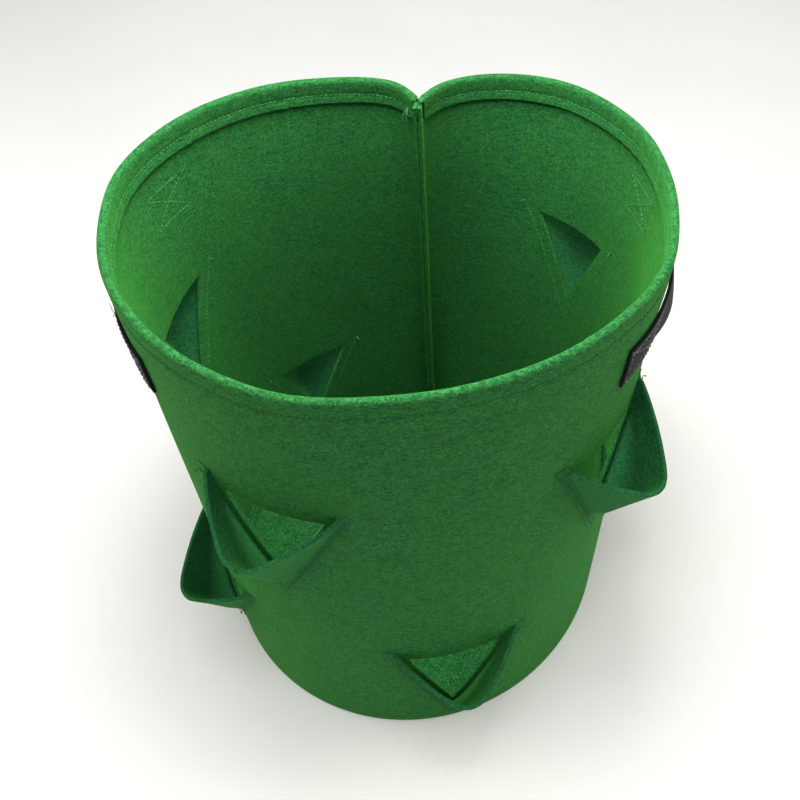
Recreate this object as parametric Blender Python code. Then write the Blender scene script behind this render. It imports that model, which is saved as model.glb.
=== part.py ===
"""A round felt grow bag with eight planting pockets and two webbing handles.

Units are metres and +Z is up. The origin is the middle of the base's underside, the side seam is at +Y
and the front is -Y. Places on the wall are given as s, the way along the rim clockwise from the side
seam as seen from above, and v, the height up the felt panel. w is the distance out from its outer face.
"""

import math

import bmesh
import bpy
import numpy as np
from mathutils import Vector

# The bag
BAG_RADIUS = 0.175
BAG_HEIGHT = 0.390
FELT = 0.0028
CLEARANCE = 0.0003
THREAD_CLEARANCE = 0.0005

# How far the soft rim and base are from true circles: (lobes, cosine share, sine share) of the radius
RIM_LOBES = ((2, 0.011, 0.063), (3, -0.022, -0.012), (4, -0.007, -0.014))
RIM_PINCH = 0.31
RIM_PINCH_ANGLE = 0.216
BASE_LOBES = ((2, -0.043, 0.020),)
# How far the rim rises and falls round the bag: (lobes, cosine height, sine height)
RIM_SLUMP = ((1, -0.007, 0.004), (2, 0.0065, -0.002))

# The turned-in hem, the side seam's allowance and the base's seam allowance
HEM_DEPTH = 0.019
HEM_STITCH_DEPTH = 0.0125
CUT_SLOPE = 0.0008
SIDE_ALLOWANCE = 0.0125
SIDE_STITCH_DEPTH = 0.0080
SIDE_FOOT = 0.030
BASE_ALLOWANCE = 0.012
BASE_STITCH_HEIGHT = 0.0075
BASE_CLEARANCE = 0.0006

# The pockets, alternately high and low, evenly spaced along the panel between the first and the last,
# whose middles are a little further from the side seam at one end than at the other. Each was laid by
# hand, so it lies a little along and up the panel from its even place.
POCKETS = 8
FIRST_POCKET = 0.1493
LAST_POCKET = 0.1313
POCKET_DRIFT = (
    (-0.001, 0.0),
    (0.0, 0.0),
    (0.002, -0.002),
    (0.001, -0.010),
    (0.006, 0.0),
    (-0.020, 0.002),
    (-0.010, -0.003),
    (0.003, -0.010),
)
HIGH_POCKET_DROP = 0.105
LOW_POCKET_TOP = 0.128
POCKET_WIDTH = 0.110
POCKET_DEPTH = 0.110
FLAP_WIDTH = 0.144
FLAP_CLEARANCE = 0.0006
FLAP_MARGIN = 0.0050
FLAP_STITCH_INSET = 0.0025
FLAP_NOSE_ROUND = 0.018
HOLE_INSET = 0.0118
HOLE_DROP = 0.010

# The handles: one flat strap each, sewn down at both ends
STRAP_WIDTH = 0.030
STRAP_THICKNESS = 0.0020
HANDLE_MIDDLE = 0.300
HANDLE_SPAN = 0.100
HANDLE_END = 0.045
HANDLE_DROP = 0.048
LOOP_STANDOFF_TOP = 0.0055
LOOP_STANDOFF_BOTTOM = 0.0085
BOX_LENGTH = 0.040
BOX_HEIGHT = 0.025

# Sewing thread
THREAD_WIDTH = 0.0008
THREAD_HEIGHT = 0.0005

# How finely the curved pieces are cut into flats
WALL_STEP = 0.018
SEAM_STEP = 0.0055
STEP_GROWTH = 1.16
PLAN_REACH = 0.002
FLAP_ROWS = (0.12, 0.28, 0.46, 0.64, 0.82, 1.0)
FLAP_TIP = 0.004
STRAP_STEPS = 4
LOOP_STEPS = 12
WALL_ROWS = 12
PLAN_SAMPLES = 1440

PERIMETER = 2 * math.pi * BAG_RADIUS
HEM_FOLD = 2 * FELT

GREEN_OUTSIDE = (0.025, 0.14, 0.035)
GREEN_FLAP = (0.022, 0.105, 0.032)
GREEN_BASE = (0.015, 0.085, 0.025)
GREEN_THREAD = (0.02, 0.11, 0.03)
BLACK_WEBBING = (0.015, 0.016, 0.018)
GREY_THREAD = (0.35, 0.36, 0.37)


def lobed_plan(lobes, pinch):
    """Points round a closed plan curve of the bag's perimeter, clockwise from the seam, and their s."""
    angle = math.pi / 2 - np.linspace(0, 2 * math.pi, PLAN_SAMPLES + 1)
    from_seam = np.minimum(math.pi / 2 - angle, angle + 1.5 * math.pi)
    radius = 1 - pinch * np.exp(-from_seam / RIM_PINCH_ANGLE)
    for count, cosine, sine in lobes:
        radius += cosine * np.cos(count * angle) + sine * np.sin(count * angle)
    points = np.stack([radius * np.cos(angle), radius * np.sin(angle)], axis=1)
    steps = np.hypot(*np.diff(points, axis=0).T)
    way = np.concatenate([[0], np.cumsum(steps)])
    scale = PERIMETER / way[-1]
    return points * scale, way * scale, angle


class Wall:
    """The outer face of the felt wall, ruled with straight lines from the base's edge to the rim."""

    def __init__(self):
        self.rim, self.rim_way, angle = lobed_plan(RIM_LOBES, RIM_PINCH)
        self.foot, self.foot_way, _ = lobed_plan(BASE_LOBES, 0)
        self.rim_height = np.full(len(angle), BAG_HEIGHT)
        for count, cosine, sine in RIM_SLUMP:
            self.rim_height += cosine * np.cos(count * angle) + sine * np.sin(count * angle)

    def plan(self, s, share):
        """The plan point at s, at a share of the way up."""
        s = s % PERIMETER
        top = [np.interp(s, self.rim_way, self.rim[:, axis]) for axis in (0, 1)]
        foot = [np.interp(s, self.foot_way, self.foot[:, axis]) for axis in (0, 1)]
        return Vector(foot) * (1 - share) + Vector(top) * share

    def height(self, s, share):
        return share * float(np.interp(s, self.rim_way, self.rim_height))

    def outward(self, s, share):
        """The level direction out of the wall."""
        along = (self.plan(s + PLAN_REACH, share) - self.plan(s - PLAN_REACH, share)).normalized()
        return Vector((-along.y, along.x))

    def point(self, s, v, w=0.0):
        share = v / BAG_HEIGHT
        plan = self.plan(s, share) + self.outward(s, share) * w
        return Vector((plan.x, plan.y, self.height(s, share)))


WALL = Wall()


def clear_scene():
    for old in list(bpy.data.objects):
        bpy.data.objects.remove(old, do_unlink=True)


def material(name, colour, roughness):
    made = bpy.data.materials.new(name)
    made.use_nodes = True
    shader = made.node_tree.nodes["Principled BSDF"]
    shader.inputs["Base Color"].default_value = (*colour, 1.0)
    shader.inputs["Roughness"].default_value = roughness
    shader.inputs["Metallic"].default_value = 0.0
    made.diffuse_color = (*colour, 1.0)
    return made


def add_object(name, points, faces, colour, roughness, parent=None, pivot=(0, 0, 0)):
    """A new object whose origin is the pivot, from world points and faces, with its normals outward."""
    pivot = Vector(pivot)
    mesh = bpy.data.meshes.new(name)
    mesh.from_pydata([tuple(Vector(point) - pivot) for point in points], [], faces)
    shape = bmesh.new()
    shape.from_mesh(mesh)
    bmesh.ops.recalc_face_normals(shape, faces=shape.faces)
    shape.to_mesh(mesh)
    shape.free()
    made = bpy.data.objects.new(name, mesh)
    bpy.context.scene.collection.objects.link(made)
    made.location = pivot
    made.data.materials.append(material(name, colour, roughness))
    made.parent = parent
    return made


def grid_faces(rows, columns, close_rows):
    """Quads of a grid of rows, whose columns stay open and whose rows may join up in a ring."""
    faces = []
    for row in range(rows if close_rows else rows - 1):
        after = (row + 1) % rows
        for column in range(columns - 1):
            here = row * columns + column
            above = after * columns + column
            faces.append((here, here + 1, above + 1, above))
    return faces


def ring_solid(name, sections, colour, roughness, parent=None, pivot=(0, 0, 0)):
    """A solid through equal closed sections, capped at both ends."""
    size = len(sections[0])
    points = [point for section in sections for point in section]
    faces = []
    for index in range(len(sections) - 1):
        for corner in range(size):
            here = index * size + corner
            after = index * size + (corner + 1) % size
            faces.append((here, after, after + size, here + size))
    faces.append(tuple(range(size)))
    faces.append(tuple(range(len(points) - size, len(points))))
    return add_object(name, points, faces, colour, roughness, parent, pivot)


def sheet_solid(name, inner, outer, colour, roughness, parent=None, pivot=(0, 0, 0)):
    """A closed solid between two equal grids of points, each a list of rows."""
    rows = len(inner)
    columns = len(inner[0])
    count = rows * columns
    points = [point for row in inner for point in row] + [point for row in outer for point in row]
    near = grid_faces(rows, columns, False)
    faces = near + [tuple(count + corner for corner in reversed(face)) for face in near]
    edge = [column for column in range(columns)]
    edge += [row * columns + columns - 1 for row in range(1, rows)]
    edge += [(rows - 1) * columns + column for column in range(columns - 2, -1, -1)]
    edge += [row * columns for row in range(rows - 2, 0, -1)]
    for here, after in zip(edge, edge[1:] + edge[:1]):
        faces.append((here, after, count + after, count + here))
    return add_object(name, points, faces, colour, roughness, parent, pivot)


def stations(start, end):
    """Places along the wall between two values of s, close together beside the seam."""
    half = []
    place = 0.0
    step = SEAM_STEP
    while place < PERIMETER / 2:
        half.append(place)
        place += step
        step = min(step * STEP_GROWTH, WALL_STEP)
    whole = half + [PERIMETER - way for way in reversed(half)]
    inside = [way for way in whole if start + SEAM_STEP / 2 < way < end - SEAM_STEP / 2]
    return [start] + inside + [end]


def offset_line(line, distance):
    """An open plan line moved sideways, towards the inside of the bag, with mitred corners."""
    moved = []
    for index, point in enumerate(line):
        before = line[max(index - 1, 0)]
        after = line[min(index + 1, len(line) - 1)]
        into = (point - before if index else after - point).normalized()
        out = (after - point if index < len(line) - 1 else point - before).normalized()
        normal = Vector((into.y, -into.x)) + Vector((out.y, -out.x))
        normal.normalize()
        cosine = normal.dot(Vector((into.y, -into.x)))
        moved.append(point + normal * (distance / cosine))
    return moved


def side_allowance(v):
    """How far the side seam's two ends stand into the bag. They taper into the base's seam."""
    least = HEM_FOLD + CLEARANCE
    share = (v - BASE_ALLOWANCE - BASE_CLEARANCE) / SIDE_FOOT
    return least + (SIDE_ALLOWANCE - least) * min(max(share, 0.0), 1.0)


def ladder(profile):
    """Triangles across a cut end of the panel, between the rows of its outer and inner face."""
    crown = max(range(len(profile)), key=lambda row: profile[row][0])
    outer = list(range(crown + 1))
    inner = list(range(len(profile) - 1, crown - 1, -1))
    faces = []
    while outer[1] != inner[1]:
        if profile[outer[1]][0] <= profile[inner[1]][0]:
            faces.append((outer[0], outer[1], inner[0]))
            outer.pop(0)
        else:
            faces.append((outer[0], inner[1], inner[0]))
            inner.pop(0)
    return faces + [(outer[0], crown, inner[0])]


def wall_section(v):
    """The panel's outer face in plan at one height, from one turned-in end to the other."""
    share = v / BAG_HEIGHT
    start = CLEARANCE
    places = stations(start, PERIMETER - start)
    line = [WALL.plan(place, share) for place in places]
    line[0].x = CLEARANCE / 2
    line[-1].x = -CLEARANCE / 2
    depth = Vector((0.0, side_allowance(v)))
    ends = [line[0] - depth, line[-1] - depth]
    heights = [WALL.height(place, share) for place in places]
    return [ends[0]] + line + [ends[1]], [heights[0]] + heights + [heights[-1]]


def make_wall(parent):
    """One felt panel: hemmed at the top, its ends sewn together, its foot turned in and its holes cut."""
    low = BASE_ALLOWANCE
    high = BAG_HEIGHT - HEM_DEPTH
    top = BAG_HEIGHT - FELT
    levels = [low + (high - low) * row / WALL_ROWS for row in range(WALL_ROWS + 1)]
    profile = [(0.0, 0.0)] + [(level, 0.0) for level in levels] + [(top, 0.0)]
    for turn in (45, 90, 135):
        angle = math.radians(turn)
        profile.append((top + FELT * math.sin(angle), FELT * (1 - math.cos(angle))))
    profile += [(top, HEM_FOLD), (high, HEM_FOLD)]
    within = [low + CUT_SLOPE] + levels[1:-1] + [high - CUT_SLOPE]
    profile += [(level, FELT) for level in reversed(within)]
    profile += [(low, HEM_FOLD), (0.0, HEM_FOLD)]
    points = []
    for v, depth in profile:
        line, heights = wall_section(v)
        for plan, z in zip(offset_line(line, depth), heights):
            points.append((plan.x, plan.y, z))
    columns = len(points) // len(profile)
    faces = grid_faces(len(profile), columns, True)
    for column in (0, columns - 1):
        faces += [tuple(row * columns + column for row in face) for face in ladder(profile)]
    wall = add_object("wall_panel", points, faces, GREEN_OUTSIDE, 0.95, parent)
    for number in range(1, POCKETS + 1):
        cut_hole(wall, number)
    return wall


def pocket_place(number):
    """s of a pocket's middle and v of its lower point. Odd pockets are high and even ones low."""
    along, up = POCKET_DRIFT[number - 1]
    pitch = (PERIMETER - FIRST_POCKET - LAST_POCKET) / (POCKETS - 1)
    top = BAG_HEIGHT - HIGH_POCKET_DROP if number % 2 else LOW_POCKET_TOP
    return FIRST_POCKET + (number - 1) * pitch + along, top - POCKET_DEPTH + up


SEWN_ANGLE = math.atan2(POCKET_WIDTH / 2, POCKET_DEPTH)


def inset_point(inset):
    """How far up a pocket the point of its V lies once the V is moved in from the flap's edge."""
    return inset / math.sin(SEWN_ANGLE)


def inset_width(inset, rise):
    """Half the width, at a rise above the pocket's point, of that V."""
    return max((rise - inset_point(inset)) * math.tan(SEWN_ANGLE), 0.0)


def cut_hole(wall, number):
    """The three-cornered hole that opens the bag into one pocket."""
    middle, foot = pocket_place(number)
    top = POCKET_DEPTH - HOLE_DROP
    corners = [(0.0, inset_point(HOLE_INSET))]
    corners += [(side * inset_width(HOLE_INSET, top), top) for side in (1, -1)]
    base = WALL.point(middle, foot)
    up = (WALL.point(middle, foot + POCKET_DEPTH) - base).normalized()
    plan = WALL.outward(middle, (foot + POCKET_DEPTH / 2) / BAG_HEIGHT)
    out = Vector((plan.x, plan.y, 0.0))
    along = out.cross(up).normalized()
    reach = POCKET_WIDTH / 8
    points = []
    for depth in (-reach, reach / 2):
        points += [base + along * side + up * rise + out * depth for side, rise in corners]
    faces = [(0, 1, 2), (3, 4, 5), (0, 1, 4, 3), (1, 2, 5, 4), (2, 0, 3, 5)]
    cutter = add_object(f"cutter_{number}", points, faces, GREEN_BASE, 0.9)
    cutter.hide_render = True
    cutter.display_type = "WIRE"
    cut = wall.modifiers.new(f"hole_{number}", "BOOLEAN")
    cut.operation = "DIFFERENCE"
    cut.solver = "EXACT"
    cut.object = cutter


def base_ring(inset, z):
    """The base's outline, moved in from the wall's outer face."""
    places = stations(0.0, PERIMETER)[:-1]
    ring = []
    for place in places:
        plan = WALL.plan(place, z / BAG_HEIGHT) - WALL.outward(place, z / BAG_HEIGHT) * inset
        ring.append((plan.x, plan.y, z))
    return ring


def make_base(parent):
    """The felt disc, with its edge turned up inside the wall's foot."""
    edge = HEM_FOLD + BASE_CLEARANCE
    rings = [base_ring(edge, 0.0), base_ring(edge, BASE_ALLOWANCE)]
    rings += [base_ring(edge + FELT, BASE_ALLOWANCE), base_ring(edge + FELT, FELT)]
    size = len(rings[0])
    points = [point for ring in rings for point in ring]
    faces = []
    for index in range(len(rings) - 1):
        for corner in range(size):
            here = index * size + corner
            after = index * size + (corner + 1) % size
            faces.append((here, after, after + size, here + size))
    for start, z in ((0, 0.0), (len(points) - size, FELT)):
        middle = len(points)
        points.append((0.0, 0.0, z))
        faces += [(middle, start + corner, start + (corner + 1) % size) for corner in range(size)]
    return add_object("base_disc", points, faces, GREEN_BASE, 0.95, parent)


def flap_lip():
    """The flap's free edge between its folds: (along, out, rise), a flat sheet bent round its nose."""
    fold = inset_point(FLAP_MARGIN)
    corner = Vector((inset_width(FLAP_MARGIN, POCKET_DEPTH), 0.0, POCKET_DEPTH - fold))
    middle = math.sqrt(corner.length_squared - (FLAP_WIDTH / 2) ** 2)
    lean = math.acos(middle / corner.length / math.cos(SEWN_ANGLE))
    nose = Vector((0.0, middle * math.sin(lean), middle * math.cos(lean)))
    start = nose + (corner - nose).normalized() * FLAP_NOSE_ROUND
    half = [corner, corner.lerp(start, 0.5), start]
    other = Vector((-start.x, start.y, start.z))
    for share in (0.25, 0.5):
        half.append(start.lerp(nose, share).lerp(nose.lerp(other, share), share))
    mirrored = [Vector((-point.x, point.y, point.z)) for point in reversed(half[:-1])]
    return half + mirrored, fold


def make_flap(number, parent):
    """A three-cornered felt flap, sewn down along two sides, that stands out as a beak at the top."""
    middle, foot = pocket_place(number)
    lip, fold = flap_lip()
    across = np.linspace(FLAP_TIP / 2, -FLAP_TIP / 2, len(lip) + 2)
    rows = [[(place, 0.0, FLAP_TIP) for place in across], [(place, 0.0, fold) for place in across]]
    for corner, side in ((0, 1), (-1, -1)):
        rows[1][corner] = (side * inset_width(0.0, fold), 0.0, fold)
    for share in FLAP_ROWS:
        row = [point * share + Vector((0.0, 0.0, fold)) for point in lip]
        ends = [(side * inset_width(0.0, row[0].z), 0.0, row[0].z) for side in (1, -1)]
        rows.append([ends[0]] + [tuple(point) for point in row] + [ends[1]])
    inner = []
    for row in rows:
        inner.append([WALL.point(middle + a, foot + rise, w + FLAP_CLEARANCE) for a, w, rise in row])
    outer = [list(row) for row in inner]
    for r, row in enumerate(inner):
        for c, point in enumerate(row):
            up = inner[min(r + 1, len(inner) - 1)][c] - inner[max(r - 1, 0)][c]
            along = row[max(c - 1, 0)] - row[min(c + 1, len(row) - 1)]
            normal = up.cross(along).normalized()
            outer[r][c] = point + normal * FELT
    return sheet_solid(f"pocket_flap_{number}", inner, outer, GREEN_FLAP, 0.95, parent)


def thread_sections(path, w, clear):
    """Sections of a flat line of thread through (s, v) places, whose near face is at w outward."""
    near, far = (w, w + THREAD_HEIGHT) if clear > 0 else (w - THREAD_HEIGHT, w)
    sections = []
    for index, (s, v) in enumerate(path):
        before = path[max(index - 1, 0)]
        after = path[min(index + 1, len(path) - 1)]
        into = Vector((s - before[0], v - before[1])).normalized() if index else None
        out = Vector((after[0] - s, after[1] - v)).normalized() if index < len(path) - 1 else None
        into = into or out
        out = out or into
        side = (Vector((-into.y, into.x)) + Vector((-out.y, out.x))).normalized()
        side *= THREAD_WIDTH / 2 / side.dot(Vector((-into.y, into.x)))
        corners = [(side, near), (side, far), (-side, far), (-side, near)]
        sections.append([WALL.point(s + way.x, v + way.y, depth) for way, depth in corners])
    return sections


def make_pocket_threads(number, parent):
    """The V of stitches that holds a flap, as seen on the flap and inside the bag."""
    middle, foot = pocket_place(number)
    point = foot + inset_point(FLAP_STITCH_INSET)
    half = inset_width(FLAP_STITCH_INSET, POCKET_DEPTH - FLAP_STITCH_INSET)
    top = foot + POCKET_DEPTH - FLAP_STITCH_INSET
    arm = [(half * share, point + (top - point) * share) for share in (1.0, 0.75, 0.5, 0.25, 0.0)]
    path = [(middle + way, v) for way, v in arm]
    path += [(middle - way, v) for way, v in reversed(arm[:-1])]
    outer = FLAP_CLEARANCE + FELT + THREAD_CLEARANCE
    sections = thread_sections(path, outer, 1)
    ring_solid(f"pocket_thread_outer_{number}", sections, GREEN_THREAD, 0.8, parent)
    sections = thread_sections(path, -FELT - THREAD_CLEARANCE, -1)
    ring_solid(f"pocket_thread_inner_{number}", sections, GREEN_THREAD, 0.8, parent)


def strap_grid(start, end, steps, standoff):
    """Inner and outer grids of a length of strap. standoff gives w at a share of the way along."""
    centre = BAG_HEIGHT - HANDLE_DROP
    inner = []
    outer = []
    for step in range(steps + 1):
        share = step / steps
        s = start + (end - start) * share
        lift = standoff(share)
        low = centre - STRAP_WIDTH / 2
        high = centre + STRAP_WIDTH / 2
        inner.append([WALL.point(s, low, lift[0]), WALL.point(s, high, lift[1])])
        over = [face + STRAP_THICKNESS for face in lift]
        outer.append([WALL.point(s, low, over[0]), WALL.point(s, high, over[1])])
    return inner, outer


def flat_standoff(share):
    return CLEARANCE, CLEARANCE


def loop_standoff(share):
    bow = 4 * share * (1 - share)
    return CLEARANCE + LOOP_STANDOFF_BOTTOM * bow, CLEARANCE + LOOP_STANDOFF_TOP * bow


def make_handle(side, middle, parent):
    """A strap's two sewn ends and its free middle, whose origin is on the line that it turns about."""
    edge = HANDLE_SPAN / 2
    ends = {"first": (middle - edge - HANDLE_END, middle - edge)}
    ends["second"] = (middle + edge, middle + edge + HANDLE_END)
    names = ("back", "front") if side == "right" else ("front", "back")
    for name, (start, end) in zip(names, ends.values()):
        inner, outer = strap_grid(start, end, STRAP_STEPS, flat_standoff)
        sheet_solid(f"handle_{side}_{name}_end", inner, outer, BLACK_WEBBING, 0.75, parent)
        make_box_stitches(f"{side}_{name}", (start + end) / 2, parent)
    start = middle - edge + CLEARANCE
    end = middle + edge - CLEARANCE
    top = BAG_HEIGHT - HANDLE_DROP + STRAP_WIDTH / 2
    lift = CLEARANCE + STRAP_THICKNESS / 2
    pivot = (WALL.point(start, top, lift) + WALL.point(end, top, lift)) / 2
    inner, outer = strap_grid(start, end, LOOP_STEPS, loop_standoff)
    sheet_solid(f"handle_{side}_loop", inner, outer, BLACK_WEBBING, 0.75, parent, pivot)


def box_shape():
    """A sewn box with a cross in it, as a flat mesh of narrow bars round four three-cornered holes."""
    half = Vector((BOX_LENGTH / 2, BOX_HEIGHT / 2))
    inner = half - Vector((THREAD_WIDTH, THREAD_WIDTH))
    slope = Vector((half.x, half.y)).normalized()
    back = Vector((THREAD_WIDTH / 2 / slope.y, THREAD_WIDTH / 2 / slope.x))
    corner = [Vector((x * half.x, y * half.y)) for x, y in ((1, 1), (-1, 1), (-1, -1), (1, -1))]
    points = list(corner)
    for x, y in ((1, 1), (-1, 1), (-1, -1), (1, -1)):
        points.append(Vector((x * (inner.x - back.x), y * inner.y)))
        points.append(Vector((x * inner.x, y * (inner.y - back.y))))
    points += [Vector((0, back.y)), Vector((-back.x, 0)), Vector((0, -back.y)), Vector((back.x, 0))]
    top, left, foot, right = range(len(points) - 4, len(points))
    faces = []
    for index in range(4):
        after = (index + 1) % 4
        level, steep = (4 + 2 * index, 5 + 2 * index)
        level_after, steep_after = (4 + 2 * after, 5 + 2 * after)
        first, second = (level, level_after) if index % 2 == 0 else (steep, steep_after)
        faces.append((index, after, second, first))
        faces.append((index, level, steep))
        hubs = ((top, right), (top, left), (foot, left), (foot, right))[index]
        faces.append((level, *hubs, steep))
    faces.append((top, left, foot, right))
    return points, faces


def make_box_stitches(place, middle, parent):
    """The box of thread on a strap's sewn end, and the same box where it shows inside the bag."""
    centre = BAG_HEIGHT - HANDLE_DROP
    flat, faces = box_shape()
    shape = bmesh.new()
    corners = [shape.verts.new((point.x, point.y, 0.0)) for point in flat]
    for face in faces:
        shape.faces.new([corners[corner] for corner in face])
    bmesh.ops.recalc_face_normals(shape, faces=shape.faces)
    longest = THREAD_WIDTH * 8
    long_edges = [edge for edge in shape.edges if abs(edge.verts[0].co.x - edge.verts[1].co.x) > longest]
    bmesh.ops.subdivide_edges(shape, edges=long_edges, cuts=1)
    shape.verts.index_update()
    plan = [(vertex.co.x, vertex.co.y) for vertex in shape.verts]
    patches = [[vertex.index for vertex in face.verts] for face in shape.faces]
    rim = [edge for edge in shape.edges if len(edge.link_faces) == 1]
    rim = [(edge.verts[0].index, edge.verts[1].index) for edge in rim]
    shape.free()
    outer = CLEARANCE + STRAP_THICKNESS + THREAD_CLEARANCE
    inner = -FELT - THREAD_CLEARANCE - THREAD_HEIGHT
    for name, near, colour in (("outer", outer, GREY_THREAD), ("inner", inner, GREEN_THREAD)):
        points = []
        for w in (near, near + THREAD_HEIGHT):
            points += [WALL.point(middle + x, centre + y, w) for x, y in plan]
        count = len(plan)
        solid = [tuple(face) for face in patches]
        solid += [tuple(count + corner for corner in reversed(face)) for face in patches]
        solid += [(a, b, count + b, count + a) for a, b in rim]
        add_object(f"box_stitches_{name}_{place}", points, solid, colour, 0.8, parent)


def make_long_threads(parent):
    """The rows of stitches round the hem, up both faces of the side seam and round the base's seam."""
    v = BAG_HEIGHT - HEM_STITCH_DEPTH
    clear_of_seam = SIDE_ALLOWANCE
    path = [(s, v) for s in stations(clear_of_seam, PERIMETER - clear_of_seam)]
    sections = thread_sections(path, THREAD_CLEARANCE, 1)
    ring_solid("hem_thread_outer", sections, GREEN_THREAD, 0.8, parent)
    sections = thread_sections(path, -HEM_FOLD - THREAD_CLEARANCE, -1)
    ring_solid("hem_thread_inner", sections, GREEN_THREAD, 0.8, parent)
    path = [(s, BASE_STITCH_HEIGHT) for s in stations(clear_of_seam, PERIMETER - clear_of_seam)]
    depth = HEM_FOLD + BASE_CLEARANCE + FELT + THREAD_CLEARANCE
    ring_solid("base_seam_thread", thread_sections(path, -depth, -1), GREEN_THREAD, 0.8, parent)
    low = BASE_ALLOWANCE + SIDE_FOOT + THREAD_WIDTH
    high = BAG_HEIGHT - HEM_DEPTH - THREAD_WIDTH
    for side, sign in (("right", 1), ("left", -1)):
        face = sign * (CLEARANCE / 2 + FELT + THREAD_CLEARANCE)
        sections = []
        for row in range(WALL_ROWS + 1):
            v = low + (high - low) * row / WALL_ROWS
            seam = WALL.point(0.0, v)
            y = seam.y - SIDE_STITCH_DEPTH
            corners = ((0, -1), (1, -1), (1, 1), (0, 1))
            section = []
            for out, along in corners:
                x = face + sign * out * THREAD_HEIGHT
                section.append(Vector((x, y + along * THREAD_WIDTH / 2, seam.z)))
            sections.append(section)
        ring_solid(f"side_seam_thread_{side}", sections, GREEN_THREAD, 0.8, parent)


def main():
    clear_scene()
    bag = bpy.data.objects.new("grow_bag", None)
    bpy.context.scene.collection.objects.link(bag)
    make_wall(bag)
    make_base(bag)
    for number in range(1, POCKETS + 1):
        make_flap(number, bag)
        make_pocket_threads(number, bag)
    make_handle("right", HANDLE_MIDDLE, bag)
    make_handle("left", PERIMETER - HANDLE_MIDDLE, bag)
    make_long_threads(bag)


main()
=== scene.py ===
"""The looks of a felt grow bag: its felt, webbing and sewing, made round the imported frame.

Units are metres and +Z is up. The origin is the middle of the base's underside, the side seam is at +Y
and the front is -Y. Places on the wall are (s, v, w): s is the way along the felt clockwise from the side
seam as seen from above, v is the height up the felt, and w is the distance out from its outer face.
"""

from __future__ import annotations

import logging
import math
from collections.abc import Sequence
from dataclasses import dataclass, field
from enum import Enum

import bmesh
import bpy
import numpy as np
from mathutils import Matrix, Vector


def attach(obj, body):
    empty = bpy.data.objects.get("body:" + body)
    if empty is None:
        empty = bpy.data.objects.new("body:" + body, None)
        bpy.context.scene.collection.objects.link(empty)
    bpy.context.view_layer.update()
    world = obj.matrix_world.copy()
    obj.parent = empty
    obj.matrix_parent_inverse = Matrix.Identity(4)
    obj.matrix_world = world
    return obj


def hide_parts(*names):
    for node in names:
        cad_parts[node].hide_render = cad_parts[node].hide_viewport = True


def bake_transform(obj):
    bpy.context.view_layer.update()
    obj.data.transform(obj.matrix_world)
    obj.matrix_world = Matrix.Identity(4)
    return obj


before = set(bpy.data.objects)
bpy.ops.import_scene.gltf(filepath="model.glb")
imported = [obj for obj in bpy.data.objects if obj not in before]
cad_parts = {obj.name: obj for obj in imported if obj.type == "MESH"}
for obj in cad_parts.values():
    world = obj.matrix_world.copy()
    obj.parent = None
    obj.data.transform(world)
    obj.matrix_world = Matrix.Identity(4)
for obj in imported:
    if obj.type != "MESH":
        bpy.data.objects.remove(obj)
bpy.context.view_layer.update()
MM = 0.001
LOG = logging.getLogger("grow_bag")

Array = np.ndarray

# How some flaps' noses have settled: moved along the wall, share of their way out, moved up, by pocket
NOSES = {3: (0.003, 1.10, -0.007), 4: (-0.002, 0.98, 0.0), 5: (0.004, 1.0, -0.002), 6: (-0.003, 1.0, -0.006)}


# ---------------------------------------------------------------------------------------------------
# Choices
# ---------------------------------------------------------------------------------------------------


class Side(Enum):
    """The two handles, named as seen from the front."""

    RIGHT = "right"
    LEFT = "left"


class Face(Enum):
    """The two faces of the wall that a row of stitches shows on."""

    OUTER = "outer"
    INNER = "inner"


class Row(Enum):
    """The two rows that the pockets are sewn in."""

    HIGH = "high"
    LOW = "low"


# ---------------------------------------------------------------------------------------------------
# Small tools
# ---------------------------------------------------------------------------------------------------


def linear(hex_colour: str) -> tuple[float, float, float, float]:
    """Turns an sRGB hex colour into the linear colour that a socket takes.

    Args:
        hex_colour: six hex digits, with or without a leading #.

    Returns:
        Red, green, blue and an alpha of 1.
    """
    digits = hex_colour.lstrip("#")
    parts = [int(digits[at : at + 2], 16) / 255 for at in (0, 2, 4)]
    bent = [part / 12.92 if part <= 0.04045 else ((part + 0.055) / 1.055) ** 2.4 for part in parts]
    return (bent[0], bent[1], bent[2], 1.0)


def smooth(share: Array) -> Array:
    """A share from 0 to 1 with soft ends."""
    held = np.clip(share, 0.0, 1.0)
    return held * held * (3 - 2 * held)


def only(piece: bpy.types.Object) -> None:
    """Selects one object and makes it active."""
    bpy.ops.object.select_all(action="DESELECT")
    piece.select_set(True)
    bpy.context.view_layer.objects.active = piece


def apply_modifiers(piece: bpy.types.Object) -> None:
    """Applies each of a piece's modifiers, in order."""
    only(piece)
    for name in [modifier.name for modifier in piece.modifiers]:
        bpy.ops.object.modifier_apply(modifier=name)


def coordinates(mesh: bpy.types.Mesh) -> Array:
    """The mesh's vertices as rows of x, y, z."""
    flat = np.empty(len(mesh.vertices) * 3)
    mesh.vertices.foreach_get("co", flat)
    return flat.reshape(-1, 3)


def move_to(mesh: bpy.types.Mesh, points: Array) -> None:
    """Moves the mesh's vertices to rows of x, y, z."""
    mesh.vertices.foreach_set("co", np.asarray(points, float).ravel())
    mesh.update()


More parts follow.
